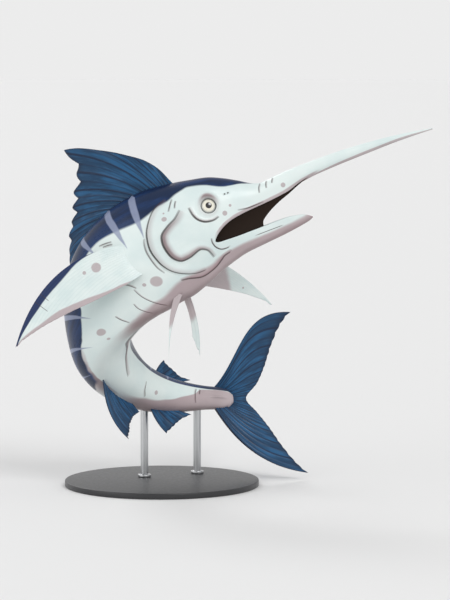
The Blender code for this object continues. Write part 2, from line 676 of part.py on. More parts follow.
def make_stand():
    bpy.ops.mesh.primitive_cylinder_add(
        vertices=72, radius=BASE_RADIUS, depth=BASE_THICKNESS, location=(0, 0, BASE_THICKNESS / 2)
    )
    base = bpy.context.object
    base.name = "stand_base"
    own(base, STAND)
    for name, station in ROD_STATIONS.items():
        x, y, top = place((station, 0, 0))
        foot = BASE_THICKNESS + GAP
        bpy.ops.mesh.primitive_cylinder_add(
            vertices=24, radius=ROD_RADIUS, depth=top - foot, location=(x, y, (top + foot) / 2)
        )
        rod = bpy.context.object
        rod.name = name
        own(rod, STEEL)
        apply_boolean(rod, BODY_CUTTER)


for thing in list(bpy.data.objects):
    bpy.data.objects.remove(thing)

MODEL = collection("blue_marlin_model")
CUTTERS = collection("cutters", hidden=True)
BODY_CUTTER = body_cutter()

make_bill()
make_head()
make_lower_jaw()
make_gill_cover("gill_cover_right", 1)
make_gill_cover("gill_cover_left", -1)
eyeball("eye_right", 1, 0, EYE)
eyeball("eye_left", -1, 0, EYE)
body_piece("torso_front", trimmed(FRONT_ROWS), SKIN)
body_piece("torso_rear", trimmed(REAR_ROWS), SKIN)
make_tail_stock()
make_dorsal_fins()
make_anal_fins()
make_pectoral_fins()
make_pelvic_fins()
make_tail_fin()
make_stand()
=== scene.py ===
import math

import bpy
import numpy as np
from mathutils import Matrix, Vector


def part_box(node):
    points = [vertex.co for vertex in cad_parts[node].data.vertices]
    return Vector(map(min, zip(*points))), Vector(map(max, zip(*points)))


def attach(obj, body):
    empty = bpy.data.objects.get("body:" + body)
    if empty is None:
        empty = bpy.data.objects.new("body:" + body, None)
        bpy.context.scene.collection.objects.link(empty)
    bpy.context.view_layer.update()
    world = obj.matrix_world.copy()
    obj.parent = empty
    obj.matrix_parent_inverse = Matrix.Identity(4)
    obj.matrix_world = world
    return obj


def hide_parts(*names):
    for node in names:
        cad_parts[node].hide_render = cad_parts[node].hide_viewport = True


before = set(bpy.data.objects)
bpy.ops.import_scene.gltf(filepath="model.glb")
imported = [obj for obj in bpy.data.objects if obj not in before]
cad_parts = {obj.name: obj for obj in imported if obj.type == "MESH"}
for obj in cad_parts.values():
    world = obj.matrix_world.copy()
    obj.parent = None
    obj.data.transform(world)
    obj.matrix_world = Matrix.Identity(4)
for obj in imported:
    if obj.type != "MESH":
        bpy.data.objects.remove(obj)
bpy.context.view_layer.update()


# The place it is shown in: a plain pale floor that runs far back, soft lights, and a long lens
# held a little above the middle of the fish, looking five degrees down.
FLOOR_HALF = 150.0
FLOOR_COLOUR = (0.75, 0.75, 0.75)
# How bright the surround is low down, where it is as pale as the floor that it meets, and higher
# up, and where it changes, in shares of the way from level to straight up
SURROUND_LOW = 0.84
SURROUND_HIGH = 0.72
SURROUND_CHANGE = (0.03, 0.12)
CAMERA_PLACE = (0.325, -15.333, 2.299)
CAMERA_PITCH = math.radians(85)
CAMERA_LENS = 180.0
CAMERA_REACH = 400.0
SENSOR_WIDTH = 36.0
# Name, direction to it, width in degrees of the patch of sky it fills, and strength
LIGHTS = (
    ("key", (0.5, -0.78, 0.74), 24, 1.06),
    ("fill", (-0.85, -0.5, 0.2), 50, 0.72),
    ("rim", (-0.45, 0.8, 0.7), 20, 0.6),
)


class Socket:
    """A node's output in a Python expression: its operators add Math nodes."""

    def __init__(self, tree, output):
        self.tree = tree
        self.output = output

    def maths(self, operation, other=None, swapped=False):
        values = [other, self] if swapped else [self, other]
        node = self.tree.node("ShaderNodeMath", {"operation": operation})
        for index, value in enumerate(values):
            if value is not None:
                self.tree.feed(node.inputs[index], value)
        return Socket(self.tree, node.outputs[0])

    def __add__(self, other):
        return self.maths("ADD", other)

    def __sub__(self, other):
        return self.maths("SUBTRACT", other)

    def __mul__(self, other):
        return self.maths("MULTIPLY", other)

    def __pow__(self, other):
        return self.maths("POWER", other)

    def __rsub__(self, other):
        return self.maths("SUBTRACT", other, swapped=True)

    __radd__ = __add__
    __rmul__ = __mul__

    def __abs__(self):
        return self.maths("ABSOLUTE")

    def most(self, other):
        return self.maths("MAXIMUM", other)

    def least(self, other):
        return self.maths("MINIMUM", other)

    def rises(self, start, end):
        """0 before start and 1 after end, with a soft step between. It falls if end is lower."""
        share = self.tree.node("ShaderNodeMapRange", {"interpolation_type": "SMOOTHSTEP"}, Value=self)
        for name, value in (("From Min", start), ("From Max", end)):
            self.tree.feed(share.inputs[name], value)
        return Socket(self.tree, share.outputs[0])

    def near(self, centre, reach):
        """1 at the centre, falling off to 0 at the reach on either side."""
        return 1 - abs((self - centre) * (1 / reach)).least(1.0).rises(0.0, 1.0)


class Finish:
    """The nodes of a material, or of the world, with one method that adds any of them."""

    def __init__(self, name, kind=bpy.data.materials, shader="Principled BSDF"):
        self.owner = kind.new(name)
        self.owner.use_nodes = True
        self.nodes = self.owner.node_tree.nodes
        self.links = self.owner.node_tree.links
        self.shader = self.nodes[shader]

    def feed(self, socket, value):
        if isinstance(value, Socket):
            self.links.new(value.output, socket)
        elif isinstance(value, bpy.types.NodeSocket):
            self.links.new(value, socket)
        elif hasattr(socket.default_value, "__len__") and len(value) < len(socket.default_value):
            socket.default_value = (*value, 1.0)
        else:
            socket.default_value = value

    def node(self, kind, settings=None, **values):
        made = self.nodes.new(kind)
        for name, value in (settings or {}).items():
            setattr(made, name, value)
        for name, value in values.items():
            self.feed(made.inputs[name.replace("_", " ")], value)
        return made

    def attribute(self, name):
        """The three numbers that a mesh stores at each point under this name."""
        source = self.node("ShaderNodeAttribute", {"attribute_name": name})
        parts = self.node("ShaderNodeSeparateXYZ", Vector=source.outputs["Vector"])
        return [Socket(self, output) for output in parts.outputs]

    def curve(self, value, points):
        """A number read off a smooth curve through (x, y) points."""
        (low, high), (least, most) = ((min(axis), max(axis)) for axis in zip(*points))
        ramp = self.nodes.new("ShaderNodeValToRGB")
        ramp.color_ramp.interpolation = "CARDINAL"
        stops = ramp.color_ramp.elements
        while len(stops) < len(points):
            stops.new(0.5)
        for stop, (x, y) in zip(stops, points):
            stop.position = (x - low) / (high - low)
            stop.color = (*[(y - least) / (most - least)] * 3, 1.0)
        self.feed(ramp.inputs[0], (value - low) * (1 / (high - low)))
        return Socket(self, ramp.outputs[0]) * (most - least) + least

    def vector(self, x, y, z):
        return self.node("ShaderNodeCombineXYZ", X=x, Y=y, Z=z).outputs[0]

    def noise(self, vector, scale, detail, roughness):
        made = self.node("ShaderNodeTexNoise", Vector=vector, Scale=scale, Detail=detail,
                         Roughness=roughness)
        return Socket(self, made.outputs[0])

    def mixed(self, factor, first, second):
        """The first colour where the factor is 0 and the second where it is 1."""
        made = self.node("ShaderNodeMix", {"data_type": "RGBA"})
        for index, value in ((0, factor), (6, first), (7, second)):
            self.feed(made.inputs[index], value)
        return made.outputs[2]

    def bump(self, height, distance, strength):
        return self.node("ShaderNodeBump", Strength=strength, Distance=distance, Height=height).outputs[0]

    def surface(self, **values):
        for name, value in values.items():
            self.feed(self.shader.inputs[name.replace("_", " ")], value)
        return self.owner


def placed(name, data):
    """An object made of this data, in the scene."""
    thing = bpy.data.objects.new(name, data)
    bpy.context.scene.collection.objects.link(thing)
    return thing


slab = bpy.data.meshes.new("floor")
slab.from_pydata([(-FLOOR_HALF, -FLOOR_HALF, 0), (FLOOR_HALF, -FLOOR_HALF, 0),
                  (FLOOR_HALF, FLOOR_HALF, 0), (-FLOOR_HALF, FLOOR_HALF, 0)], [], [(0, 1, 2, 3)])
slab.materials.append(Finish("floor_paint").surface(Base_Color=FLOOR_COLOUR, Roughness=0.75))
placed("floor", slab)

surround = Finish("soft_surround", bpy.data.worlds, "Background")
towards = surround.node("ShaderNodeTexCoord").outputs["Generated"]
towards = surround.node("ShaderNodeSeparateXYZ", Vector=towards)
change = Socket(surround, towards.outputs["Z"]).rises(*SURROUND_CHANGE)
bpy.context.scene.world = surround.surface(
    Color=(1.0, 1.0, 1.0), Strength=change * (SURROUND_HIGH - SURROUND_LOW) + SURROUND_LOW)

for name, direction, width, strength in LIGHTS:
    lamp = bpy.data.lights.new(name, "SUN")
    lamp.angle = math.radians(width)
    lamp.energy = strength
    placed(name, lamp).rotation_euler = Vector(direction).to_track_quat("Z", "Y").to_euler()

lens = bpy.data.cameras.new("camera")
lens.lens = CAMERA_LENS
lens.sensor_width = SENSOR_WIDTH
lens.clip_end = CAMERA_REACH
camera = placed("camera", lens)
camera.location = CAMERA_PLACE
camera.rotation_euler = (CAMERA_PITCH, 0, 0)
bpy.context.scene.camera = camera
bpy.context.scene.view_settings.view_transform = "Standard"


# The skin: one unbroken surface over bill, head, jaws, trunk and tail stock, with the lining of
# the open mouth. It is laid out on the straight fish and carried onto the bent, rolling body.
# A station runs from 0 at the closed jaw's tip to 1 at the tail's fork, the bill lies ahead of 0,
# and side and height are shares of the same length.
FORK_LENGTH = 2.45
SECTION_POWER = 2.1
BILL_TIP = -0.298
JAW_TIP = -0.004
MOUTH_CORNER = 0.2005
# How far ahead of the corner the rows of points start to close up
CLOSING = 0.022
THROAT_END = 0.246
COLLAR = 0.33
BODY_END = 0.968
JAW_TIP_PLACE = (0.6815, -0.335, 1.585)
LEAN = math.radians(5)

# Station, heading in the upright plane, turn away from it, and roll of the back, in degrees
POSE = (
    (0.22, 202, -1, -3), (0.3, 207, 9, 1), (0.38, 222, 24, 15), (0.46, 242, 25, 33), (0.54, 262, 27, 60),
    (0.62, 293, 32, 104), (0.7, 319, 35, 127), (0.78, 341, 29, 141), (0.88, 357, 22, 147),
    (1.0, 358, 24, 150),
)
BACK = (
    (-0.298, -0.0038), (-0.25, 0.0062), (-0.207, 0.0132), (-0.1565, 0.0195), (-0.104, 0.024),
    (-0.04, 0.0266), (0.0, 0.027), (0.04, 0.0258), (0.069, 0.024), (0.085, 0.029), (0.11, 0.045),
    (0.135, 0.06), (0.167, 0.075), (0.205, 0.084), (0.25, 0.0935), (0.3, 0.102), (0.36, 0.1045),
    (0.43, 0.103), (0.5, 0.098), (0.58, 0.087), (0.66, 0.069), (0.74, 0.052), (0.82, 0.04), (0.9, 0.028),
    (0.955, 0.023), (0.968, 0.012),
)
BELLY = (
    (-0.298, -0.0064), (-0.25, -0.0038), (-0.207, -0.0023), (-0.104, -0.002), (-0.05, -0.003),
    (0.0, -0.0095), (0.03, -0.027), (0.075, -0.049), (0.134, -0.084), (0.194, -0.109), (0.25, -0.128),
    (0.3, -0.137), (0.36, -0.137), (0.43, -0.129), (0.5, -0.114), (0.58, -0.093), (0.66, -0.07),
    (0.74, -0.051), (0.82, -0.0385), (0.9, -0.027), (0.955, -0.0225), (0.968, -0.012),
)
MIDDLE = (
    (-0.298, -0.0051), (-0.207, 0.0055), (-0.104, 0.011), (0.0, 0.0085), (0.075, 0.002), (0.134, -0.003),
    (0.194, -0.008), (0.3, -0.012), (0.5, -0.005), (0.968, 0.0),
)
HALF_WIDTH = (
    (-0.298, 0.0012), (-0.25, 0.0048), (-0.207, 0.0072), (-0.104, 0.0122), (-0.04, 0.015), (0.0, 0.0172),
    (0.03, 0.0195), (0.075, 0.024), (0.12, 0.0335), (0.16, 0.043), (0.196, 0.0505), (0.25, 0.0605),
    (0.3, 0.067), (0.36, 0.07), (0.42, 0.071), (0.5, 0.069), (0.58, 0.0655), (0.66, 0.0575),
    (0.74, 0.0465), (0.82, 0.0335), (0.9, 0.0205), (0.955, 0.0145), (0.968, 0.008),
)

# The open mouth: edge and roof of the upper jaw, edge, underside and half width of the lower
# jaw, the mouth's floor, and the throat that closes behind the corner
UPPER_LIP = (
    (-0.06, -0.001), (-0.0265, -0.0034), (0.0, -0.0074), (0.029, -0.0135), (0.073, -0.0173),
    (0.116, -0.019), (0.149, -0.0224), (0.173, -0.0296), (0.184, -0.0356), (0.191, -0.0402),
    (0.196, -0.0445), (0.1992, -0.0483), (0.2005, -0.0515),
)
ROOF = (
    (-0.05, -0.0022), (0.0, -0.0062), (0.03, -0.0105), (0.073, -0.0115), (0.116, -0.01), (0.15, -0.011),
    (0.18, -0.017), (0.194, -0.0235), (0.21, -0.034), (0.23, -0.046), (0.246, -0.058),
)
LOWER_LIP = (
    (-0.004, -0.0795), (0.006, -0.072), (0.02, -0.0665), (0.049, -0.0615), (0.1, -0.06), (0.153, -0.0587),
    (0.18, -0.0568), (0.19, -0.0562), (0.196, -0.055),
)
UNDERSIDE = (
    (-0.004, -0.082), (0.006, -0.0855), (0.028, -0.089), (0.061, -0.0925), (0.104, -0.0955),
    (0.146, -0.0985), (0.175, -0.1045),
)
JAW_HALF_WIDTH = (
    (-0.004, 0.0014), (0.006, 0.0075), (0.028, 0.0125), (0.08, 0.02), (0.13, 0.03), (0.165, 0.0382),
)
MOUTH_FLOOR = (
    (-0.004, -0.08), (0.006, -0.0745), (0.03, -0.0735), (0.06, -0.0765), (0.104, -0.0785),
    (0.194, -0.083), (0.21, -0.081), (0.23, -0.0735), (0.246, -0.064),
)
THROAT_HALF_WIDTH = ((0.206, 0.0415), (0.216, 0.0345), (0.232, 0.023), (0.246, 0.006))
TONGUE = 0.3
TONGUE_WIDTH = 0.13
LIP_THICKNESS = 0.0021
LINING_INSET = 0.07
# The edge between the bill's top and underside, as a share of the way down to its belly
BILL_EDGE = 0.4

# Steps across the upper outside, the lower outside, the roof and the floor of the mouth
OVER_STEPS = 104
UNDER_STEPS = 56
ROOF_STEPS = 44
FLOOR_STEPS = 44


def smooth(points):
    """A curve through (x, y) points that doesn't overshoot them."""
    x, y = np.array(points, float).T
    step = np.diff(x)
    rise = np.diff(y) / step
    slope = np.zeros_like(y)
    slope[0], slope[-1] = rise[0], rise[-1]
    near, far = 2 * step[1:] + step[:-1], step[1:] + 2 * step[:-1]
    for i in range(1, len(y) - 1):
        if rise[i - 1] * rise[i] > 0:
            slope[i] = (near[i - 1] + far[i - 1]) / (near[i - 1] / rise[i - 1] + far[i - 1] / rise[i])

    def curve(at):
        at = np.clip(np.asarray(at, float), x[0], x[-1])
        i = np.clip(np.searchsorted(x, at, side="right") - 1, 0, len(step) - 1)
        u = (at - x[i]) / step[i]
        start = y[i] * (1 + 2 * u) * (1 - u) ** 2 + step[i] * slope[i] * u * (1 - u) ** 2
        end = y[i + 1] * u * u * (3 - 2 * u) - step[i] * slope[i + 1] * u * u * (1 - u)
        return start + end

    return curve


def eased(at, start, end):
    """0 before start and 1 after end, with a soft step between."""
    share = np.clip((np.asarray(at, float) - start) / (end - start), 0, 1)
    return share * share * (3 - 2 * share)


def hump(at, centre, width):
    """1 at the centre, falling off softly to about a third at the width on either side."""
    return np.exp(-(((at - centre) / width) ** 2))


back = smooth(BACK)
belly = smooth(BELLY)
middle = smooth(MIDDLE)
half_width = smooth(HALF_WIDTH)
upper_lip = smooth(UPPER_LIP)
roof = smooth(ROOF)
mouth_floor = smooth(MOUTH_FLOOR)


def leaned(vectors):
    """Upright-plane coordinates turned about X by the lean."""
    x, y, z = np.moveaxis(vectors, -1, 0)
    forward = y * math.cos(LEAN) + z * math.sin(LEAN)
    up = z * math.cos(LEAN) - y * math.sin(LEAN)
    return np.stack([x, forward, up], -1)


def body_line():
    """Stations along the centre line, its points, and the rearward, upward and right axes there."""
    stations = np.arange(BILL_TIP - 0.02, 1.1, 0.002)
    heading, tilt, roll = (
        np.radians(smooth([(row[0], row[i]) for row in POSE])(stations)) for i in (1, 2, 3)
    )
    flat = np.zeros_like(heading)
    rear = np.stack([np.cos(tilt) * np.cos(heading), np.sin(tilt), np.cos(tilt) * np.sin(heading)], 1)
    outward = np.stack([np.sin(heading), flat, -np.cos(heading)], 1)
    away = np.stack([-np.sin(tilt) * np.cos(heading), np.cos(tilt), -np.sin(tilt) * np.sin(heading)], 1)
    up = np.cos(roll)[:, None] * outward + np.sin(roll)[:, None] * away
    steps = (rear[1:] + rear[:-1]) / 2 * np.diff(stations)[:, None]
    line = np.concatenate([np.zeros((1, 3)), np.cumsum(steps, 0)])
    line -= line[np.argmin(abs(stations))]
    rear, up, line = leaned(rear), leaned(up), leaned(line)
    return stations, np.array(JAW_TIP_PLACE) + FORK_LENGTH * line, rear, up, np.cross(up, rear)


STATIONS, LINE, REAR, UP, RIGHT = body_line()


def along_body(field, station):
    return np.stack([np.interp(station, STATIONS, field[:, i]) for i in range(3)], -1)


def carried(points):
    """Where the bent body has each straight (station, side, height) point, in metres."""
    station, side, height = np.moveaxis(np.asarray(points, float), -1, 0)
    right = along_body(RIGHT, station) * side[..., None]
    up = along_body(UP, station) * height[..., None]
    return along_body(LINE, station) + FORK_LENGTH * (right + up)


def skin_reach(station, above, low=belly):
    """How far the skin is from its middle line, up where above is positive and down elsewhere."""
    return np.where(above > 0, back(station) - middle(station), middle(station) - low(station))


def section(station, angle, grow=0.0):
    """Straight point on the skin at an angle round it, from the right side over the back."""
    station, angle = np.broadcast_arrays(np.asarray(station, float), angle)
    across, upward = np.cos(angle), np.sin(angle)
    power = 2 / SECTION_POWER
    reach = skin_reach(station, upward)
    side = (half_width(station) + grow) * np.sign(across) * abs(across) ** power
    height = middle(station) + (reach + grow) * np.sign(upward) * abs(upward) ** power
    return np.stack([station, side, height], -1)


def skin_side(station, height):
    """How far out the skin is at a height."""
    above = height - middle(station)
    inside = np.clip(1 - abs(above / skin_reach(station, above)) ** SECTION_POWER, 0, 1)
    return half_width(station) * inside ** (1 / SECTION_POWER)


def edge_angle(station):
    """The angle, below the right side, at which the upper jaw's edge lies on the skin."""
    deep = (middle(station) - upper_lip(station)) / (middle(station) - belly(station))
    share = eased(station, -0.06, 0.02)
    deep = share * np.clip(deep, 0, 1) + (1 - share) * BILL_EDGE
    return -math.asin(float(deep) ** (SECTION_POWER / 2))


# The eye's place and size, and the distances from its middle between which its socket runs out
EYE_STATION = 0.186
EYE_HEIGHT = 0.0215
EYE_RADIUS = 0.04
EYE_DEPTH = 0.024
EYE_PROUD = 0.005
SOCKET_DEPTH = 0.016
SOCKET_RIM = (0.036, 0.052)
# Where the pectoral fins grow out
PECTORAL_STATION = 0.35
PECTORAL_HEIGHT = -0.022
# How far soft forms stand out of the plain section, in metres
BROW_HEIGHT = 0.009
CHEEK_HEIGHT = 0.005
FIN_ROOT_HEIGHT = 0.02
KEEL_HEIGHT = 0.0085
NOTCH_DEPTH = 0.004


def socket_dip(from_eye):
    return SOCKET_DEPTH * (1 - eased(from_eye, *SOCKET_RIM))


def relief(station, angle):
    """How far the skin stands out from the plain section, in shares of the length."""
    station, angle = np.broadcast_arrays(np.asarray(station, float), angle)
    point = section(station, angle)
    along = (station - EYE_STATION) * FORK_LENGTH
    above = (point[..., 2] - EYE_HEIGHT) * FORK_LENGTH
    grow = -socket_dip(np.hypot(along, above))
    # A brow over the eye, and a low cheek bulge under and behind it
    grow += BROW_HEIGHT * np.exp(-((along - 0.012) / 0.062) ** 2 - ((above - 0.066) / 0.024) ** 2)
    grow += CHEEK_HEIGHT * np.exp(-((along - 0.06) / 0.09) ** 2 - ((above + 0.14) / 0.07) ** 2)
    # The fleshy root that each pectoral fin grows out of, steeper behind than ahead
    behind = station - PECTORAL_STATION - 0.004
    behind = behind / np.where(station > PECTORAL_STATION + 0.004, 0.012, 0.026)
    level = (point[..., 2] - PECTORAL_HEIGHT + 0.004) / 0.034
    grow += FIN_ROOT_HEIGHT * np.exp(-(behind ** 2) - level ** 4)
    # Two keels on each side of the tail stock
    keel = hump(abs(point[..., 2]) * FORK_LENGTH, 0.016, 0.0065)
    keel = keel * eased(station, 0.898, 0.925) * (1 - eased(station, 0.935, 0.957))
    grow += KEEL_HEIGHT * keel
    # A shallow notch over and under the tail stock, just ahead of the tail fin
    grow -= NOTCH_DEPTH * hump(station, 0.951, 0.004) * abs(np.sin(angle)) ** 6
    return grow / FORK_LENGTH


# The lower jaw and the throat end in the corner itself, so that no seam opens there
corner_angle = edge_angle(MOUTH_CORNER)
corner_side, corner_height = section(MOUTH_CORNER, corner_angle, relief(MOUTH_CORNER, corner_angle))[1:]
corner_depth = section(MOUTH_CORNER, -math.pi / 2, relief(MOUTH_CORNER, -math.pi / 2))[2]
lower_lip = smooth((*LOWER_LIP, (MOUTH_CORNER, corner_height)))
underside = smooth((*UNDERSIDE, (MOUTH_CORNER, corner_depth)))
jaw_half_width = smooth((*JAW_HALF_WIDTH, (MOUTH_CORNER, corner_side)))
throat_half_width = smooth(((MOUTH_CORNER, corner_side), *THROAT_HALF_WIDTH))


def lip_turn(share):
    """0 at a row's two ends and 1 from a lip's thickness in."""
    return eased(np.minimum(share, 1 - share), 0.0, 0.062)


def tongue(share):
    """How much of the mouth's depth the tongue fills, across its floor."""
    return TONGUE * hump(share, 0.5, TONGUE_WIDTH)


def inside_lip(wide, round_lip):
    """The half width of the mouth's lining, a lip's thickness in from the jaw's."""
    return wide - round_lip * (min(LIP_THICKNESS, 0.4 * wide) + LINING_INSET * wide)


def over_row(station):
    edge = edge_angle(station)
    angles = np.linspace(edge, math.pi - edge, OVER_STEPS + 1)
    return section(station, angles, relief(station, angles))


def roof_row(station):
    """From the left edge to the right one: the bill's underside, and further back the palate."""
    edge = edge_angle(station)
    share = np.linspace(0, 1, ROOF_STEPS + 1)
    below = section(station, np.linspace(math.pi - edge, 2 * math.pi + edge, ROOF_STEPS + 1))
    corner = section(station, edge, relief(station, edge))
    dome = np.sin(math.pi * share) ** 0.7
    round_lip = lip_turn(share)
    vault = np.stack([
        np.full_like(share, station),
        -inside_lip(corner[1], round_lip) * np.cos(math.pi * share),
        corner[2] + (roof(station) - corner[2]) * dome * round_lip,
    ], -1)
    turn = eased(station, -0.05, 0.03)
    return below * (1 - turn) + vault * turn


def under_row(station):
    """From the left edge of the lower jaw, round its underside, to the right edge."""
    turn = np.linspace(math.pi, 0, UNDER_STEPS + 1)
    top, low, wide = lower_lip(station), underside(station), jaw_half_width(station)
    jaw = np.stack([
        np.full_like(turn, station),
        wide * np.cos(turn),
        top - (top - low) * np.sin(turn) ** 0.9,
    ], -1)
    angles = np.linspace(math.pi - corner_angle, 2 * math.pi + corner_angle, UNDER_STEPS + 1)
    whole = section(station, angles, relief(station, angles))
    deep = (whole[:, 2] - whole[0, 2]) / (whole[:, 2].min() - whole[0, 2])
    whole[:, 2] = top + deep * (low - top)
    whole[:, 1] *= wide / abs(whole[0, 1])
    share = eased(station, 0.1, 0.19)
    return jaw * (1 - share) + whole * share


def floor_row(station):
    """From the right edge of the lower jaw, over the mouth's floor, to the left edge."""
    share = np.linspace(0, 1, FLOOR_STEPS + 1)
    top, wide = lower_lip(station), jaw_half_width(station)
    trough = np.clip(np.sin(math.pi * share), 0, 1) ** 0.8
    filled = tongue(share) * eased(station, 0.02, 0.06)
    round_lip = lip_turn(share)
    return np.stack([
        np.full_like(share, station),
        inside_lip(wide, round_lip) * np.cos(math.pi * share),
        top - (top - mouth_floor(station)) * (trough - filled) * round_lip,
    ], -1)


def throat_row(station):
    """A ring of the throat behind the mouth's corner: its roof, then its floor."""
    first = np.linspace(0, 1, ROOF_STEPS + 1)
    second = np.linspace(0, 1, FLOOR_STEPS + 1)[1:-1]
    wide = throat_half_width(station)
    level = corner_height - 0.04 * (station - MOUTH_CORNER)
    lips = 1 - eased(station, MOUTH_CORNER, MOUTH_CORNER + 0.01)
    over, under = lip_turn(first), lip_turn(second)
    side = np.concatenate([-np.cos(math.pi * first) * inside_lip(wide, lips * over),
                           np.cos(math.pi * second) * inside_lip(wide, lips * under)])
    dome = level + (roof(station) - level) * np.sin(math.pi * first) ** 0.7 * (1 - lips * (1 - over))
    filled = tongue(second) * (1 - eased(station, MOUTH_CORNER, THROAT_END))
    trough = np.sin(math.pi * second) ** 0.8 - filled
    trough = level + (mouth_floor(station) - level) * trough * (1 - lips * (1 - under))
    return np.stack([np.full_like(side, station), side, np.concatenate([dome, trough])], -1)


def stations_through(start, *lengths):
    """Stations from the start through lengths of (end, pitch), a pitch in metres apart in each."""
    stations = [np.array([start])]
    for end, pitch in lengths:
        count = max(2, round((end - start) * FORK_LENGTH / pitch) + 1)
        stations.append(np.linspace(start, end, count)[1:])
        start = end
    return np.concatenate(stations)


class Shell:
    """Points on the skin with what each carries, and the faces over them."""

    def __init__(self):
        self.straight = []
        self.world = []
        self.form = []
        self.marks = []
        self.faces = []
        self.count = 0

    def add(self, straight, faces, lining, low, crease, mauve_shade):
        """form holds station, girth from -1 under the belly to 1 on the back, and lining, which is 1 inside
        the mouth. marks holds painted shade: the dark of a crease and the mauve beside it."""
        straight = straight.reshape(-1, 3)
        station, height = straight[:, 0], straight[:, 2]
        above = height - middle(station)
        girth = np.clip(above / np.maximum(skin_reach(station, above, low), 1e-4), -1.1, 1.1)
        plain = np.zeros(len(straight))
        lining, crease, mauve_shade = (plain + np.ravel(value) for value in (lining, crease, mauve_shade))
        self.straight.append(straight)
        self.world.append(carried(straight))
        self.form.append(np.stack([station, girth, lining], -1))
        self.marks.append(np.stack([crease, mauve_shade, plain], -1))
        self.faces += (np.asarray(faces) + self.count).tolist()
        self.count += len(straight)

    def sheet(self, rows, lining=0.0, closed=False, low=belly, crease=0.0, mauve_shade=0.0):
        """A grid of faces over rows of points. closed joins each row's end to its start."""
        rows = np.asarray(rows, float)
        tall, wide = rows.shape[:2]
        here = np.arange(tall * wide).reshape(tall, wide)
        beside = np.roll(here, -1, 1) if closed else here[:, 1:]
        start = here if closed else here[:, :-1]
        faces = np.stack([start[:-1], beside[:-1], beside[1:], start[1:]], -1).reshape(-1, 4)
        lining, crease, mauve_shade = (np.broadcast_to(value, (tall, wide)) for value in (lining, crease, mauve_shade))
        self.add(rows, faces, lining, low, crease, mauve_shade)

    def laid_on(self, station, height, rise, crease, mauve_shade=0.0, sides=(1, -1), turned=False):
        """A sheet that lies on the skin, alike on both sides. turned is for rows that run the other
        way round, so that the faces point outwards."""
        crease, mauve_shade = (value + np.zeros_like(rise) for value in (crease, mauve_shade))
        for side in sides:
            order = -side if turned else side
            self.sheet(on_skin(side, station, height, rise)[::order],
                       crease=crease[::order], mauve_shade=mauve_shade[::order])

    def cap(self, row, lining=0.0, low=belly):
        """A fan that closes a ring."""
        row = np.asarray(row, float)
        count = len(row)
        faces = [((i + 1) % count, i, count) for i in range(count)]
        self.add(np.concatenate([row, row.mean(0)[None]]), faces, lining, low, 0.0, 0.0)

    def welded(self):
        """Merges points that lie on each other, and drops faces that this closes up."""
        world = np.concatenate(self.world)
        _, first, same = np.unique(np.round(world, 6), axis=0, return_index=True, return_inverse=True)
        same = same.reshape(-1)
        faces = []
        for face in self.faces:
            corners = list(dict.fromkeys(int(same[i]) for i in face))
            if len(corners) > 2:
                faces.append(corners)
        stored = [np.concatenate(values)[first] for values in (self.straight, self.form, self.marks)]
        return world[first], faces, stored


def mesh_piece(name, points, faces, finish, **stored):
    """An object of these points and faces, with three stored numbers of each kind on its points."""
    mesh = bpy.data.meshes.new(name)
    mesh.from_pydata(np.asarray(points, float).tolist(), [], faces)
    for label, values in stored.items():
        layer = mesh.attributes.new(label, "FLOAT_VECTOR", "POINT")
        layer.data.foreach_set("vector", np.asarray(values, np.float32).reshape(-1))
    mesh.materials.append(finish)
    mesh.shade_smooth()
    return placed(name, mesh)


skin = Shell()
closing = MOUTH_CORNER - CLOSING
closing_rows = MOUTH_CORNER - CLOSING * (1 - np.linspace(0, 1, 15)[1:]) ** 1.8
front_rows = stations_through(BILL_TIP, (-0.03, 0.011), (0.0, 0.005), (closing, 0.005))
front_rows = np.concatenate([front_rows, closing_rows])
skin.sheet([over_row(station) for station in front_rows])
edge_share = np.linspace(0, 1, ROOF_STEPS + 1)
lip_in = eased(np.minimum(edge_share, 1 - edge_share), 0.02, 0.12)
in_mouth = eased(front_rows, -0.035, 0.02)[:, None]
skin.sheet([roof_row(station) for station in front_rows], lip_in * in_mouth)
skin.cap(np.concatenate([over_row(BILL_TIP), roof_row(BILL_TIP)[1:-1]])[::-1])

jaw_rows = stations_through(JAW_TIP, (0.006, 0.002), (closing, 0.0055))
jaw_rows = np.concatenate([jaw_rows, closing_rows])
skin.sheet([under_row(station) for station in jaw_rows], low=underside)
skin.sheet([floor_row(station) for station in jaw_rows], lip_in, low=underside)
skin.cap(np.concatenate([under_row(JAW_TIP), floor_row(JAW_TIP)[1:-1]])[::-1], low=underside)

throat_rows = stations_through(MOUTH_CORNER, (THROAT_END, 0.006))
skin.sheet([throat_row(station) for station in throat_rows], 1.0, closed=True)
skin.cap(throat_row(THROAT_END), 1.0)


def whole_row(station):
    """A ring round the trunk, behind the mouth."""
    over = np.linspace(corner_angle, math.pi - corner_angle, OVER_STEPS + 1)
    under = np.linspace(math.pi - corner_angle, 2 * math.pi + corner_angle, UNDER_STEPS + 1)[1:-1]
    angles = np.concatenate([over, under])
    return section(station, angles, relief(station, angles))


body_rows = stations_through(
    MOUTH_CORNER, (COLLAR, 0.0065), (0.385, 0.006), (0.88, 0.016), (0.956, 0.005), (BODY_END, 0.003))
skin.sheet([whole_row(station) for station in body_rows], closed=True)
skin.cap(whole_row(BODY_END))


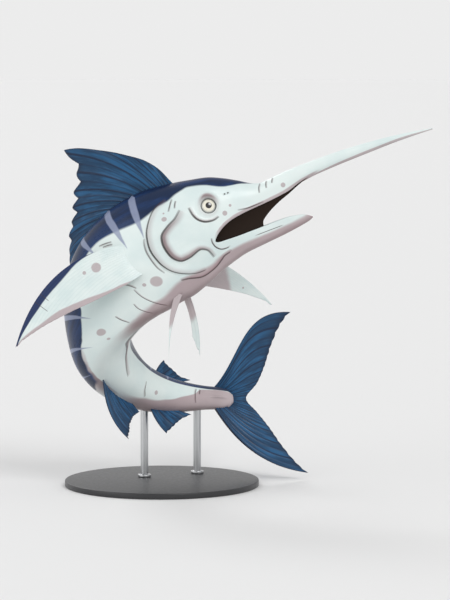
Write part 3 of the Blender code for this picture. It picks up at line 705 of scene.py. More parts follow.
def on_skin(side, station, height, rise=0.0):
    """Straight point on the skin at a station and height, raised by a rise in metres."""
    lip = section(station, corner_angle, relief(station, corner_angle))
    top = lower_lip(station)
    on_jaw = (station < MOUTH_CORNER) & (height < top)
    deep = (height - top) / (underside(station) - top)
    whole = np.where(on_jaw, lip[..., 2] + deep * (belly(station) - lip[..., 2]), height)
    above = whole - middle(station)
    share = np.clip(above / skin_reach(station, above), -1, 1)
    angle = np.sign(share) * np.arcsin(abs(share) ** (SECTION_POWER / 2))
    angle = angle if side > 0 else math.pi - angle
    point = section(station, angle, relief(station, angle) + rise / FORK_LENGTH)
    point[..., 1] *= np.where(on_jaw, jaw_half_width(station) / lip[..., 1], 1.0)
    point[..., 2] += height - whole
    return point


# Across a flap's free edge, in metres beyond it: share of the rise, extra height, dark of the painted
# crease shade, mauve painted shade
LIP = (
    (0.0, 1.0, 0.0, 0.05, 1.0), (0.001, 0.82, 0.0, 0.45, 1.0), (0.0018, 0.42, 0.0, 0.95, 0.8),
    (0.0018, 0.0, 0.0004, 1.0, 0.6), (0.0058, 0.0, 0.0003, 0.9, 0.5), (0.01, 0.0, -0.0004, 0.0, 0.0),
)


def flap(path, width, rise, dark=1.0, mauve=1.0, steps=48, sides=(1, -1), bold=1.0, end_width=1.0):
    """A fold of skin, alike on both sides of the fish: its free edge follows a path of (station, height)
    points, and it merges with the skin a width in metres ahead of that edge. dark and mauve scale its
    painted shade, the dark of its crease and the mauve beside it. bold makes its crease wider, and
    end_width is the share of the width that is left at the path's end."""
    path = np.array(path)
    length = np.concatenate([[0], np.cumsum(np.hypot(*np.diff(path, axis=0).T))])
    t = np.linspace(0, 1, steps)
    line = np.stack([smooth(list(zip(length / length[-1], path[:, i])))(t) for i in (0, 1)], -1)
    for _ in range(3):
        line[1:-1] = (line[:-2] + 2 * line[1:-1] + line[2:]) / 4
    tangent = np.gradient(line, axis=0)
    tangent /= np.linalg.norm(tangent, axis=1)[:, None]
    inward = np.stack([tangent[:, 1], -tangent[:, 0]], -1)
    for _ in range(6):
        inward[1:-1] = (inward[:-2] + 2 * inward[1:-1] + inward[2:]) / 4
    inward /= np.linalg.norm(inward, axis=1)[:, None]
    ends = np.sin(math.pi * t) ** 0.6
    share = np.linspace(0, 1, max(4, round(width / 0.0065)), endpoint=False)
    # Rows across the fold up to its free edge, as in LIP; the mauve painted shade grows towards the edge
    across = [(-width * (1 - u), u ** 2, -0.0005 * (1 - u), 0.0, eased(u, 0.55, 0.95)) for u in share]
    across = np.array(across + [(bold * row[0], *row[1:]) for row in LIP])
    narrow = 1 - (1 - end_width) * eased(t, 0.65, 0.88)[:, None]
    beyond = np.where(across[:, 0] < 0, across[:, 0] * narrow, across[:, 0]) / FORK_LENGTH
    station = line[:, None, 0] - inward[:, None, 0] * beyond
    height = line[:, None, 1] - inward[:, None, 1] * beyond
    lift = across[:, 1] * rise * ends[:, None] + across[:, 2]
    shade = ends[:, None] ** 0.5
    skin.laid_on(station, height, lift, across[:, 3] * dark * shade, across[:, 4] * mauve * shade, sides)


# The cheek plate, the gill cover and the folds behind and under it
flap(((0.2389, 0.0332), (0.2538, 0.0189), (0.27, 0.0105), (0.2867, -0.0034), (0.2905, -0.022),
      (0.2886, -0.0404), (0.283, -0.0529), (0.2721, -0.0606), (0.2593, -0.0598), (0.2474, -0.0559),
      (0.234, -0.052), (0.2187, -0.0606), (0.2119, -0.0799)), 0.075, 0.012, steps=110, bold=1.6,
     end_width=0.5)
flap(((0.256, 0.064), (0.2776, 0.0548), (0.2984, 0.0315), (0.3086, 0.0107), (0.3142, -0.0211),
      (0.3108, -0.0485), (0.3015, -0.0691), (0.2852, -0.0835), (0.2551, -0.0954), (0.238, -0.0965)),
     0.055, 0.012, mauve=0.5, steps=110, bold=1.35)
flap(((0.315, 0.008), (0.3182, 0.0002), (0.3218, -0.0225), (0.3198, -0.054), (0.313, -0.072)),
     0.012, 0.0025, dark=0.7, mauve=0.5)
flap(((0.295, -0.0965), (0.2832, -0.0979), (0.2507, -0.106), (0.23, -0.102), (0.215, -0.0962),
      (0.2073, -0.0915), (0.199, -0.0862), (0.1934, -0.0828), (0.184, -0.0812), (0.174, -0.0803)),
     0.022, 0.006, steps=80, bold=1.3)
# The fold under the eye, and the one that closes round the mouth's corner
flap(((0.223, 0.033), (0.2215, 0.018), (0.2173, 0.0064), (0.209, -0.002), (0.2024, -0.0056),
      (0.1883, -0.008), (0.175, -0.005)), 0.022, 0.0045, mauve=0.8, bold=1.3)
flap(((0.2042, -0.0415), (0.2056, -0.049), (0.2043, -0.0568), (0.2003, -0.0638), (0.193, -0.0692),
      (0.183, -0.0708), (0.1735, -0.0706)), 0.008, 0.003, mauve=0.6)
# Small wrinkles behind the eye, at the root of the bill and over the lip
for wrinkle in (((0.245, 0.06), (0.252, 0.05), (0.2594, 0.0382)),
                ((0.24, 0.054), (0.244, 0.047), (0.247, 0.04)),
                ((0.07, 0.0222), (0.076, 0.015), (0.0791, 0.0052)),
                ((0.056, 0.0225), (0.06, 0.016), (0.062, 0.009)),
                ((0.042, 0.0235), (0.045, 0.019), (0.048, 0.014)),
                ((0.1353, -0.008), (0.1089, -0.0122), (0.0776, -0.012))):
    flap(wrinkle, 0.007, 0.0013, dark=0.75, mauve=0.5, steps=18)
# Folds where the body bends: across the breast, over and under the pectoral fin's root
for fold in (((0.3842, -0.0728), (0.3833, -0.0897), (0.3775, -0.106), (0.3651, -0.1228), (0.356, -0.131)),
             ((0.4135, -0.0955), (0.4176, -0.1077), (0.4134, -0.1201), (0.408, -0.127)),
             ((0.4702, -0.0877), (0.4715, -0.1), (0.4711, -0.112)),
             ((0.3933, -0.0539), (0.3844, -0.063), (0.3768, -0.0742))):
    flap(fold, 0.016, 0.0024, dark=0.8, mauve=0.7, steps=26)
for fold in (((0.3906, 0.042), (0.378, 0.0378), (0.3652, 0.0328)),
             ((0.385, 0.0345), (0.375, 0.0312), (0.366, 0.027))):
    flap(fold[::-1], 0.01, 0.0016, dark=0.8, mauve=0.6, steps=18)
# Folds inside the bend of the waist, on the left, and two that ring the tail stock
flap(((0.5038, -0.109), (0.5473, -0.0945), (0.6037, -0.0499), (0.6357, -0.0466), (0.6665, -0.0474))[::-1],
     0.045, 0.004, dark=0.6, mauve=0.9, steps=50, sides=(-1,))
for ring in (((0.7249, -0.02), (0.73, -0.035), (0.742, -0.0435)),
             ((0.8778, 0.0087), (0.8721, -0.0057), (0.8716, -0.0185), (0.8746, -0.0239)),
             ((0.8865, 0.0081), (0.8824, -0.005))):
    flap(ring, 0.012, 0.0018, dark=0.8, mauve=0.6, steps=20)

# The rim of each eye: the skin dips to the ball, rises in a rim, and overhangs it as a brow. A painted dark
# crease runs where the skin meets the ball, and mauve painted shade lies round the rim, strongest at the
# brow.
RIM = (
    (0.0355, -0.0128), (0.0375, -0.0095), (0.0392, -0.004), (0.0406, 0.0006), (0.0425, 0.003),
    (0.046, 0.0036), (0.051, 0.0028), (0.057, 0.0014), (0.064, 0.0003), (0.074, -0.0005),
)
BROW_RISE = 0.013
BROW_OVERHANG = 0.0062
rim_at = np.concatenate([np.linspace(0.0355, 0.046, 12), np.linspace(0.048, 0.074, 10)])[None, :]
turn = np.linspace(0, 2 * math.pi, 73)[:, None]
over_eye = np.clip(np.sin(turn - 0.35), 0, 1) ** 0.9
from_eye = rim_at - BROW_OVERHANG * over_eye * (1 - eased(rim_at, 0.036, 0.056))
skin.laid_on(
    EYE_STATION + from_eye * np.cos(turn) / FORK_LENGTH, EYE_HEIGHT + from_eye * np.sin(turn) / FORK_LENGTH,
    smooth(RIM)(rim_at) + BROW_RISE * over_eye * hump(rim_at, 0.0475, 0.01) + socket_dip(from_eye),
    hump(rim_at, 0.0375, 0.0026), hump(rim_at, 0.046, 0.0085) * (0.25 + 0.75 * over_eye), turned=True)

# Two nostrils a side, just ahead of the eye: low craters, with painted shade in each hole
NOSTRILS = ((0.14, 0.03), (0.147, 0.0303))
# How much longer than tall each one is
NOSTRIL_LENGTH = 1.4
# Distance from the hole's middle, rise of the skin there, and the dark of the painted shade
CRATER = (
    (0.0, 0.0004, 1.0), (0.0015, 0.0005, 1.0), (0.0028, 0.0008, 0.9), (0.0036, 0.0018, 0.35),
    (0.0046, 0.0021, 0.05), (0.0062, 0.001, 0.0), (0.0085, -0.0004, 0.0),
)
from_hole, rise, dark = np.array(CRATER).T[:, None, :]
turn = np.linspace(0, 2 * math.pi, 21)[:, None]
for station, height in NOSTRILS:
    skin.laid_on(station + NOSTRIL_LENGTH * from_hole * np.cos(turn) / FORK_LENGTH,
                 height + from_hole * np.sin(turn) / FORK_LENGTH, rise + 0 * turn, dark, turned=True)

# The cheek's inner wall on each side, stretched between the jaws, with a free front edge, painted near
# black as painted shade like the rest of the mouth's lining
WALL_EDGE = smooth((
    (0.0, -0.026), (0.03, -0.006), (0.06, 0.008), (0.12, 0.025), (0.24, 0.049), (0.48, 0.0775),
    (0.725, 0.094), (1.0, 0.098),
))
WALL_THICKNESS = 0.0025
down = np.linspace(0, 1, 29) ** 1.3
for side in (1, -1):
    rows = []
    for t in down:
        row = []
        front = WALL_EDGE(t)
        for station in front + (MOUTH_CORNER - 0.0006 - front) * np.linspace(0, 1, 30) ** 0.9:
            over, under = roof_row(station), floor_row(station)
            high, low = over[4 if side < 0 else -5], under[-4 if side < 0 else 3]
            point = high * (1 - t) + low * t
            point[1] *= 1 - 0.2 * math.sin(math.pi * t)
            row.append(point)
        rows.append(row)
    outer = np.array(rows)
    inner = outer.copy()
    inner[..., 1] -= side * WALL_THICKNESS / FORK_LENGTH
    around = [np.concatenate([outer[:, i], inner[::-1, i]]) for i in range(outer.shape[1])]
    around = np.array(around if side > 0 else around[::-1])
    tall = len(down)
    skin.sheet(around, 1.0, closed=True)
    skin.sheet([around[0][:tall - 1:-1], around[0][:tall]], 1.0)
    skin.sheet([around[-1][:tall], around[-1][:tall - 1:-1]], 1.0)

# Where the dark back gives way to the pale flank, as girth at each station
BACK_EDGE = (
    (0.06, 1.1), (0.095, 0.93), (0.1175, 0.8), (0.146, 0.72), (0.175, 0.8), (0.204, 0.84), (0.222, 0.81),
    (0.25, 0.69), (0.2775, 0.6), (0.307, 0.5), (0.35, 0.51), (0.395, 0.55), (0.43, 0.46), (0.47, 0.2),
    (0.498, -0.06), (0.53, -0.22), (0.57, -0.28), (0.605, -0.22), (0.645, -0.02), (0.69, 0.18),
    (0.75, 0.32), (0.85, 0.4), (0.968, 0.42),
)
# How much lower that edge runs on the right side, where the back's dark comes down at the waist
WAIST_DIP = (
    (0.49, 0.0), (0.5, 0.06), (0.519, 0.12), (0.549, 0.27), (0.569, 0.38), (0.59, 0.56), (0.612, 0.74),
    (0.63, 0.86), (0.647, 0.92), (0.665, 0.86), (0.7, 0.52), (0.74, 0.24), (0.8, 0.06), (0.85, 0.0),
)
# How far out on the right side, in metres, the waist's patch of mauve painted shade ends
WAIST_SHADE_PATCH = (
    (0.56, 0.13), (0.575, 0.105), (0.589, 0.08), (0.6, 0.062), (0.612, 0.042), (0.63, 0.018),
    (0.65, -0.005), (0.68, -0.02),
)
# How strong the mauve painted shade under the belly, the bill's underside and the tail's root is, and the
# girth from which it starts
UNDER_SHADE_SHARE = (
    (-0.298, 0.75), (0.0, 0.95), (0.3, 0.97), (0.45, 0.92), (0.49, 0.8), (0.53, 0.25), (0.56, 0.08),
    (0.68, 0.08), (0.735, 0.9), (0.968, 0.9),
)
UNDER_SHADE_FROM = (
    (-0.298, 0.14), (-0.264, 0.07), (-0.201, -0.28), (-0.138, -0.48), (-0.074, -0.62), (-0.02, -0.8),
    (0.03, -0.82), (0.065, -0.8), (0.1, -0.78), (0.145, -0.75), (0.2, -0.7), (0.226, -0.72),
    (0.254, -0.69), (0.297, -0.67), (0.341, -0.78), (0.381, -0.81), (0.443, -0.87), (0.483, -0.92),
    (0.54, -0.95), (0.66, -0.95), (0.715, -0.92), (0.743, -0.84), (0.787, -0.74), (0.829, -0.51),
    (0.874, -0.12), (0.89, 0.31), (0.968, 0.4),
)
# Bars across the back: station at the back, slant as the station's change over a unit of girth,
# girth where each ends on the flank, and half its width
BARS = (
    (0.31, 0.008, 0.15, 0.0058), (0.357, -0.012, 0.1, 0.0056), (0.4205, -0.025, 0.26, 0.005),
    (0.478, -0.036, 0.05, 0.005), (0.53, -0.046, -0.1, 0.005), (0.582, -0.055, -0.47, 0.0052),
    (0.655, -0.053, -0.86, 0.0046), (0.715, -0.05, -0.98, 0.0044), (0.762, -0.03, 0.1, 0.0042),
    (0.812, -0.015, 0.2, 0.004),
)
# Old marks on the pale flank: station, height as a share of the length, and radius in metres
SPOTS = (
    (0.4128, 0.0171, 0.023), (0.4398, 0.0361, 0.013), (0.3366, -0.081, 0.028), (0.3601, -0.0765, 0.008),
    (0.5201, -0.0845, 0.023), (0.5306, -0.0984, 0.009), (0.0291, 0.0028, 0.011), (0.1612, -0.0055, 0.012),
    (0.1453, 0.0051, 0.007), (0.2722, 0.0288, 0.013), (0.2692, 0.0399, 0.006), (0.7813, -0.0254, 0.012),
    (0.799, -0.0211, 0.004),
)


# How far ahead the spots on the left lie, in metres, so that the two sides aren't alike
LEFT_SPOTS_AHEAD = 0.035
# Two tones of the pale flank, the mauve of the painted shade under the belly and at folds, and an old mark
PALE_TONES = ((0.7, 0.775, 0.76), (0.622, 0.718, 0.712))
SHADE_MAUVE = (0.43, 0.345, 0.36)
OLD_MARK = (0.42, 0.35, 0.362)


def skin_paint():
    finish = Finish("marlin_skin")
    along, side, height = finish.attribute("straight")
    station, girth, lining = finish.attribute("form")
    crease, mauve_shade, _ = finish.attribute("marks")
    plain = finish.vector(along, side, height)
    cloud = finish.noise(plain, 5.0, 3.0, 0.5)
    streak = finish.noise(finish.vector(along * 2.2, side * 16.0, height * 16.0), 1.0, 4.0, 0.6)
    scale = finish.noise(finish.vector(along * 85.0, side * 420.0, height * 420.0), 1.0, 2.0, 0.5)
    net = finish.node("ShaderNodeTexVoronoi", {"feature": "DISTANCE_TO_EDGE"}, Scale=1.0,
                      Vector=finish.vector(along * 26.0, side * 40.0, height * 40.0))
    net = Socket(finish, net.outputs["Distance"])

    # The pale flank in two tones, with mauve painted shade under the belly and the bill and at the tail's
    # root
    colour = finish.mixed(cloud.rises(0.35, 0.7), *PALE_TONES)
    colour = finish.mixed(streak.rises(0.55, 0.8) * 0.35, colour, (0.76, 0.82, 0.81))
    ragged = (streak - 0.5) * 0.16
    edge = finish.curve(station, BACK_EDGE) - finish.curve(station, WAIST_DIP) * side.rises(-0.004, 0.012)
    under = (girth + ragged * 0.4 - finish.curve(station, UNDER_SHADE_FROM)).rises(0.01, -0.07)
    under = under * finish.curve(station, UNDER_SHADE_SHARE)
    # A patch of mauve painted shade on the right of the waist, beside the back's dark
    patch = (side - finish.curve(station, WAIST_SHADE_PATCH)).rises(-0.004, 0.008)
    patch = patch * station.near(0.625, 0.07) ** 0.5
    under = under.most(patch * girth.rises(0.0, -0.3) * 0.9)
    # A band of mauve painted shade along the upper lip's edge
    over_lip = height - finish.curve(station, UPPER_LIP) * FORK_LENGTH
    lip_band = over_lip.rises(0.019, 0.011) * over_lip.rises(-0.012, -0.004) * station.rises(-0.055, -0.035)
    under = under.most(lip_band * station.rises(0.2025, 0.1825) * 0.85)
    colour = finish.mixed(under, colour, SHADE_MAUVE)
    # Darker painted shade at the very bottom of the belly, mixed with some random cloud
    deep = (girth + ragged * 0.3).rises(-0.88, -0.98)
    deep = deep * (0.55 - station.rises(0.66, 0.74) * 0.35) + cloud.rises(0.45, 0.7) * 0.15
    colour = finish.mixed(under * deep, colour, (0.23, 0.165, 0.165))
    shifted = finish.vector(along + side.rises(0.02, -0.02) * LEFT_SPOTS_AHEAD, abs(side), height)
    for spot_station, spot_height, radius in SPOTS:
        out = float(skin_side(spot_station, spot_height))
        centre = [FORK_LENGTH * value for value in (spot_station, out, spot_height)]
        away = finish.node("ShaderNodeVectorMath", {"operation": "DISTANCE"})
        finish.feed(away.inputs[0], shifted)
        finish.feed(away.inputs[1], centre)
        away = Socket(finish, away.outputs["Value"]) + (cloud - 0.5) * 0.01
        colour = finish.mixed(away.rises(radius * 1.1, radius * 0.85) * 0.85, colour, OLD_MARK)

    # The dark back, with lighter streaks along it
    navy = finish.mixed(streak.rises(0.4, 0.68), (0.0066, 0.0185, 0.056), (0.0125, 0.04, 0.132))
    navy = finish.mixed(girth.rises(0.9, 1.0) * 0.6, navy, (0.006, 0.01, 0.045))
    dark = (girth + ragged * 0.35 - edge).rises(-0.02, 0.03)
    colour = finish.mixed(dark, colour, navy)

    # The bars
    bars = None
    left = side.rises(0.0, -0.02)
    for start, slant, end, half in BARS:
        centre = start + (1 - girth) * slant + (cloud - 0.5) * 0.007
        above_end = girth - end - left * max(0.0, 0.3 - end)
        taper = above_end.rises(-0.05, 0.55) * (1 - girth.rises(0.93, 0.985) * 0.7)
        band = (abs(station - centre) - taper * half).rises(0.0012, -0.0012) * taper.rises(0.02, 0.1)
        bars = band if bars is None else bars.most(band)
    bar_colour = finish.mixed(streak, (0.19, 0.225, 0.345), (0.3, 0.34, 0.47))
    colour = finish.mixed(bars * 0.88, colour, bar_colour)

    # A shallow groove along the side of the lower jaw, with painted shade darkening it
    off_groove = abs(height + 0.177 - (station - 0.09) * 0.06)
    groove = off_groove.rises(0.0026, 0.0012) * station.rises(0.056, 0.068) * station.rises(0.124, 0.11)
    colour = finish.mixed(groove * 0.8, colour, (0.045, 0.03, 0.03))

    # Painted shade at each fold: mauve beside it and in it, then the dark of the crease
    colour = finish.mixed(mauve_shade * 0.75, colour, (0.3, 0.2, 0.215))
    colour = finish.mixed(mauve_shade.rises(0.62, 1.0) * 0.55, colour, (0.15, 0.085, 0.09))
    colour = finish.mixed(crease * 0.92, colour, (0.02, 0.013, 0.012))
    # The mouth's lining, from reddish mauve at the lips to near black deeper in: painted shade inside the
    # open mouth
    colour = finish.mixed(lining.rises(0.0, 0.3), colour, (0.21, 0.12, 0.12))
    inside = lining.rises(0.25, 0.75)
    colour = finish.mixed(inside, colour, (0.012, 0.0045, 0.001))

    rough = 0.36 - dark * 0.06 + (scale - 0.5) * 0.16 + (cloud - 0.5) * 0.1 + crease * 0.2 + inside * 0.35
    height_map = scale * 0.35 + streak * 0.3 + net.rises(0.0, 0.1) * 0.1 - groove
    return finish.surface(
        Base_Color=colour, Roughness=rough, IOR=1.32, Coat_Weight=(1 - inside) * (0.2 - dark * 0.15),
        Coat_Roughness=0.16, Normal=finish.bump(height_map, 0.0011, 0.55))


def fitted(piece, slot, *nodes):
    """Ties a piece to the CAD: the body that it rides on and the nodes it stands for. Its slot is not used.
    """
    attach(piece, "root")
    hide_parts(*nodes)


points, faces, (straight, form, marks) = skin.welded()
marlin_skin = mesh_piece("marlin_skin", points, faces, skin_paint(),
                         straight=straight * FORK_LENGTH, form=form, marks=marks)
fitted(marlin_skin, "skin", "bill", "head", "lower_jaw", "gill_cover_right", "gill_cover_left",
       "torso_front", "torso_rear", "tail_stock")


# The eyes: a large flattened ball on each side, whose clear front shows a pale iris with a
# dark pupil. Each is set into its socket and keeps still.
PUPIL_RADIUS = 0.0155
EYE_RINGS = 36
EYE_STEPS = 64


def eye_axes(side):
    """World point of the skin over an eye, and the outward, upward and forward axes there."""
    out = skin_side(EYE_STATION, EYE_HEIGHT)
    lean = (skin_side(EYE_STATION, EYE_HEIGHT - 0.01) - skin_side(EYE_STATION, EYE_HEIGHT + 0.01)) / 0.02
    flare = (skin_side(EYE_STATION + 0.01, EYE_HEIGHT) - skin_side(EYE_STATION - 0.01, EYE_HEIGHT)) / 0.02
    rear, up, right = (along_body(field, EYE_STATION) for field in (REAR, UP, RIGHT))
    outward = side * right + lean * up - flare * rear
    outward /= np.linalg.norm(outward)
    upward = up - outward * (up @ outward)
    upward /= np.linalg.norm(upward)
    forward = np.cross(outward, upward)
    forward *= -np.sign(forward @ rear)
    return carried((EYE_STATION, side * out, EYE_HEIGHT)), outward, upward, forward


def eye_paint():
    finish = Finish("eye")
    ahead, above, _ = finish.attribute("iris")
    from_centre = (ahead * ahead + above * above) ** 0.5
    around = ahead.maths("ARCTAN2", above)
    streak = finish.noise(finish.vector(around * 9.0, from_centre * 90.0, 0.0), 1.0, 3.0, 0.6)
    iris = finish.mixed(streak, (0.74, 0.71, 0.58), (0.9, 0.88, 0.78))
    iris = finish.mixed(from_centre.near(0.015, 0.0035) * 0.55, iris, (0.62, 0.55, 0.36))
    iris = finish.mixed(from_centre.rises(0.026, 0.037) * 0.75, iris, (0.33, 0.36, 0.4))
    pupil = from_centre.rises(PUPIL_RADIUS + 0.0008, PUPIL_RADIUS - 0.0004)
    colour = finish.mixed(pupil, iris, (0.006, 0.007, 0.01))
    return finish.surface(Base_Color=colour, Roughness=0.16, Coat_Weight=1.0, Coat_Roughness=0.03)


eye_finish = eye_paint()
for side, word in ((1, "right"), (-1, "left")):
    place, outward, upward, forward = eye_axes(side)
    centre = place + outward * (EYE_PROUD - EYE_DEPTH)
    down = np.linspace(0, math.pi, EYE_RINGS + 1)[1:-1]
    around = np.arange(EYE_STEPS) * 2 * math.pi / EYE_STEPS
    ring, turn = np.meshgrid(down, around, indexing="ij")
    local = np.stack([np.sin(ring) * np.cos(turn), np.sin(ring) * np.sin(turn), np.cos(ring)], -1)
    local = np.concatenate([[[0, 0, 1]], local.reshape(-1, 3), [[0, 0, -1]]])
    local = local * (EYE_RADIUS, EYE_RADIUS, EYE_DEPTH)
    points = centre + local @ np.array([forward, upward, outward])
    faces = []
    last = len(points) - 1
    for step in range(EYE_STEPS):
        beside = (step + 1) % EYE_STEPS
        faces += [(0, 1 + step, 1 + beside), (last, last - EYE_STEPS + beside, last - EYE_STEPS + step)]
        for row in range(EYE_RINGS - 2):
            a = 1 + row * EYE_STEPS
            faces.append((a + step, a + EYE_STEPS + step, a + EYE_STEPS + beside, a + beside))
    if np.cross(forward, upward) @ outward < 0:
        faces = [face[::-1] for face in faces]
    eye = mesh_piece("eye_ball_" + word, points, faces, eye_finish, iris=local)
    fitted(eye, "eye", "eye_" + word)


# The fins: stiff rays of bone with a thin membrane between, darker along the rays and at the
# edge. Each is one double sheet whose root is sunk in the body.
RAY_SHARE = 0.34
MEMBRANE_SHARE = 0.5
STEPS_A_RAY = 6


class Fin:
    """A fin laid flat: along and across its plane, half its thickness, and where on it a point is."""

    def __init__(self, outline, rays, rows, root, edge, scallop, skew=None, membrane=MEMBRANE_SHARE,
                 even_to=0.0, rays_a_point=1):
        curves = [smooth([(row[0], row[i]) for row in outline]) for i in range(1, 6)]
        columns = (rays - 1) * STEPS_A_RAY + 1
        u = np.linspace(0, 1, columns)[:, None]
        v = np.linspace(0, 1, rows)[None, :]
        start_a, start_b, end_a, end_b, bow = (curve(u) for curve in curves)
        ray_at = u * (rays - 1)
        off_ray = 2 * abs(ray_at - np.round(ray_at))
        on_ray = hump(off_ray, 0, RAY_SHARE)
        point_at = ray_at / rays_a_point
        off_point = 2 * abs(point_at - np.round(point_at))
        scallop = scallop * eased(u, even_to, even_to + 0.03) if even_to else scallop
        jitter = 1 - 0.35 * scallop * (1 + np.sin(2.4 * ray_at) * np.sin(1.1 * ray_at + 1))
        reach = v * (1 - scallop * off_point ** 1.6) * jitter
        run_a, run_b = end_a - start_a, end_b - start_b
        length = np.hypot(run_a, run_b)
        swing = np.clip(reach, 0, 1) ** (skew(u) if skew else 1)
        aside = bow * 4 * swing * (1 - swing) / length
        self.a = start_a + reach * run_a - aside * run_b
        self.b = start_b + reach * run_b + aside * run_a
        thick = (root + (edge - root) * v ** 0.6) / 2
        self.half = thick * (membrane + (1 - membrane) * on_ray)
        self.ray = np.broadcast_to(ray_at, self.a.shape)
        self.v = np.broadcast_to(v, self.a.shape)
        self.u = np.broadcast_to(u, self.a.shape)


def both_faces(first, second, near, far):
    """Three numbers for each point of a fin's two faces, the third one given for each face."""
    return np.concatenate([np.stack(np.broadcast_arrays(first, second, third), -1).reshape(-1, 3)
                           for third in (near, far)])


def fin_piece(name, fin, near, far, finish, slot, *nodes):
    """The two faces of a fin, closed round the border."""
    columns, rows = fin.a.shape
    here = np.arange(columns * rows).reshape(columns, rows)
    there = here + columns * rows
    front = np.stack([here[:-1, :-1], here[1:, :-1], here[1:, 1:], here[:-1, 1:]], -1).reshape(-1, 4)
    behind = np.stack([there[:-1, 1:], there[1:, 1:], there[1:, :-1], there[:-1, :-1]], -1).reshape(-1, 4)
    border = np.concatenate([here[:, 0], here[-1, 1:], here[-2::-1, -1], here[0, -2:0:-1]])
    after = np.roll(border, -1)
    rim = np.stack([after, border, border + columns * rows, after + columns * rows], -1)
    faces = np.concatenate([front, behind, rim])
    points = np.concatenate([near.reshape(-1, 3), far.reshape(-1, 3)])
    corners = points[faces]
    volume = np.einsum("ij,ij->i", corners[:, 0], np.cross(corners[:, 1], corners[:, 2])).sum()
    volume += np.einsum("ij,ij->i", corners[:, 0], np.cross(corners[:, 2], corners[:, 3])).sum()
    if volume < 0:
        faces = faces[:, ::-1]
    piece = mesh_piece(name, points, faces.tolist(), finish, fin=both_faces(fin.ray, fin.v, fin.u, fin.u),
                       flat=both_faces(fin.a * FORK_LENGTH, fin.b * FORK_LENGTH, 0.0, 1.0))
    fitted(piece, slot, *nodes)


def on_body(fin, above):
    """The two faces of a fin that stands on the back or under the belly, bent with the body."""
    edge = back(fin.a) if above else belly(fin.a)
    side = 0.0012 * np.sin(fin.ray * 1.9) * fin.v
    height = edge + (fin.b if above else -fin.b)
    half = fin.half / FORK_LENGTH
    return (carried(np.stack([fin.a, side + half, height], -1)),
            carried(np.stack([fin.a, side - half, height], -1)))


def held_out(fin, root, span, chord, bend=None):
    """The two faces of a fin held out from a point: span points to its tip, chord to its front
    edge, and bend gives the angle in degrees by which it still leans out at each distance."""
    span = span / np.linalg.norm(span)
    chord = chord - span * (chord @ span)
    chord = chord / np.linalg.norm(chord)
    normal = np.cross(span, chord)
    reach = np.arange(-0.05, 0.45, 0.005)
    angle = np.radians(bend(reach)) if bend else np.zeros_like(reach)
    forward = np.concatenate([[0], np.cumsum(np.cos(angle)[:-1] * 0.005)])
    out = np.concatenate([[0], np.cumsum(np.sin(angle)[:-1] * 0.005)])
    start = np.argmin(abs(reach))
    along = np.interp(fin.a, reach, forward - forward[start])[..., None] * span
    aside = np.interp(fin.a, reach, out - out[start])[..., None] * normal
    lean = np.interp(fin.a, reach, angle)[..., None]
    across = np.cos(lean) * normal - np.sin(lean) * span
    flat = root + FORK_LENGTH * (along + aside + fin.b[..., None] * chord)
    return flat + fin.half[..., None] * across, flat - fin.half[..., None] * across


def dark_fin_paint():
    finish = Finish("dark_fin")
    ray, v, _ = finish.attribute("fin")
    off_ray = abs(ray - ray.maths("ROUND")) * 2
    streak = finish.noise(finish.vector(ray * 0.9, v * 1.6, 3.0), 1.0, 3.0, 0.55)
    fine = finish.noise(finish.vector(ray * 9.0, v * 6.0, 0.0), 1.0, 2.0, 0.6)
    off_pair = abs(ray * 0.5 - (ray * 0.5).maths("ROUND")) * 2
    colour = finish.mixed(streak.rises(0.42, 0.62), (0.008, 0.044, 0.104), (0.015, 0.092, 0.212))
    colour = finish.mixed(off_ray.rises(0.4, 0.05) * 0.55, colour, (0.007, 0.022, 0.06))
    colour = finish.mixed(off_pair.rises(0.22, 0.04) * 0.75, colour, (0.005, 0.013, 0.04))
    colour = finish.mixed(v.rises(0.92, 1.0) * 0.6, colour, (0.005, 0.012, 0.035))
    colour = finish.mixed(fine.rises(0.5, 0.8) * 0.2, colour, (0.08, 0.2, 0.35))
    height = off_ray.rises(0.6, 0.0) + fine * 0.35
    return finish.surface(Base_Color=colour, Roughness=0.34 + fine * 0.16, IOR=1.3, Coat_Weight=0.14,
                          Coat_Roughness=0.2, Normal=finish.bump(height, 0.0012, 0.6))


dark_fin = dark_fin_paint()

# u, start station, start height, tip station, tip height over the back, bow
FIRST_DORSAL = (
    (0.0, 0.231, -0.008, 0.237, 0.006, 0.0), (0.04, 0.238, -0.008, 0.247, 0.033, 0.0),
    (0.08, 0.246, -0.008, 0.264, 0.058, 0.001), (0.12, 0.254, -0.008, 0.291, 0.082, 0.002),
    (0.16, 0.262, -0.008, 0.323, 0.114, 0.003), (0.19, 0.2675, -0.008, 0.354, 0.15, 0.004),
    (0.2, 0.27, -0.008, 0.367, 0.162, 0.004), (0.21, 0.273, -0.008, 0.3675, 0.153, 0.004),
    (0.25, 0.284, -0.008, 0.371, 0.121, 0.003), (0.31, 0.302, -0.008, 0.391, 0.09, 0.001),
    (0.38, 0.328, -0.008, 0.413, 0.064, 0.0), (0.46, 0.36, -0.008, 0.441, 0.045, 0.0),
    (0.55, 0.398, -0.008, 0.477, 0.03, 0.0), (0.68, 0.46, -0.008, 0.535, 0.019, 0.0),
    (0.84, 0.548, -0.008, 0.612, 0.014, 0.0), (1.0, 0.64, -0.008, 0.69, 0.009, 0.0),
)
SECOND_DORSAL = (
    (0.0, 0.788, -0.006, 0.82, 0.048, 0.004), (0.3, 0.799, -0.006, 0.836, 0.033, 0.002),
    (0.7, 0.818, -0.006, 0.858, 0.018, 0.0), (1.0, 0.836, -0.006, 0.88, 0.012, 0.0),
)
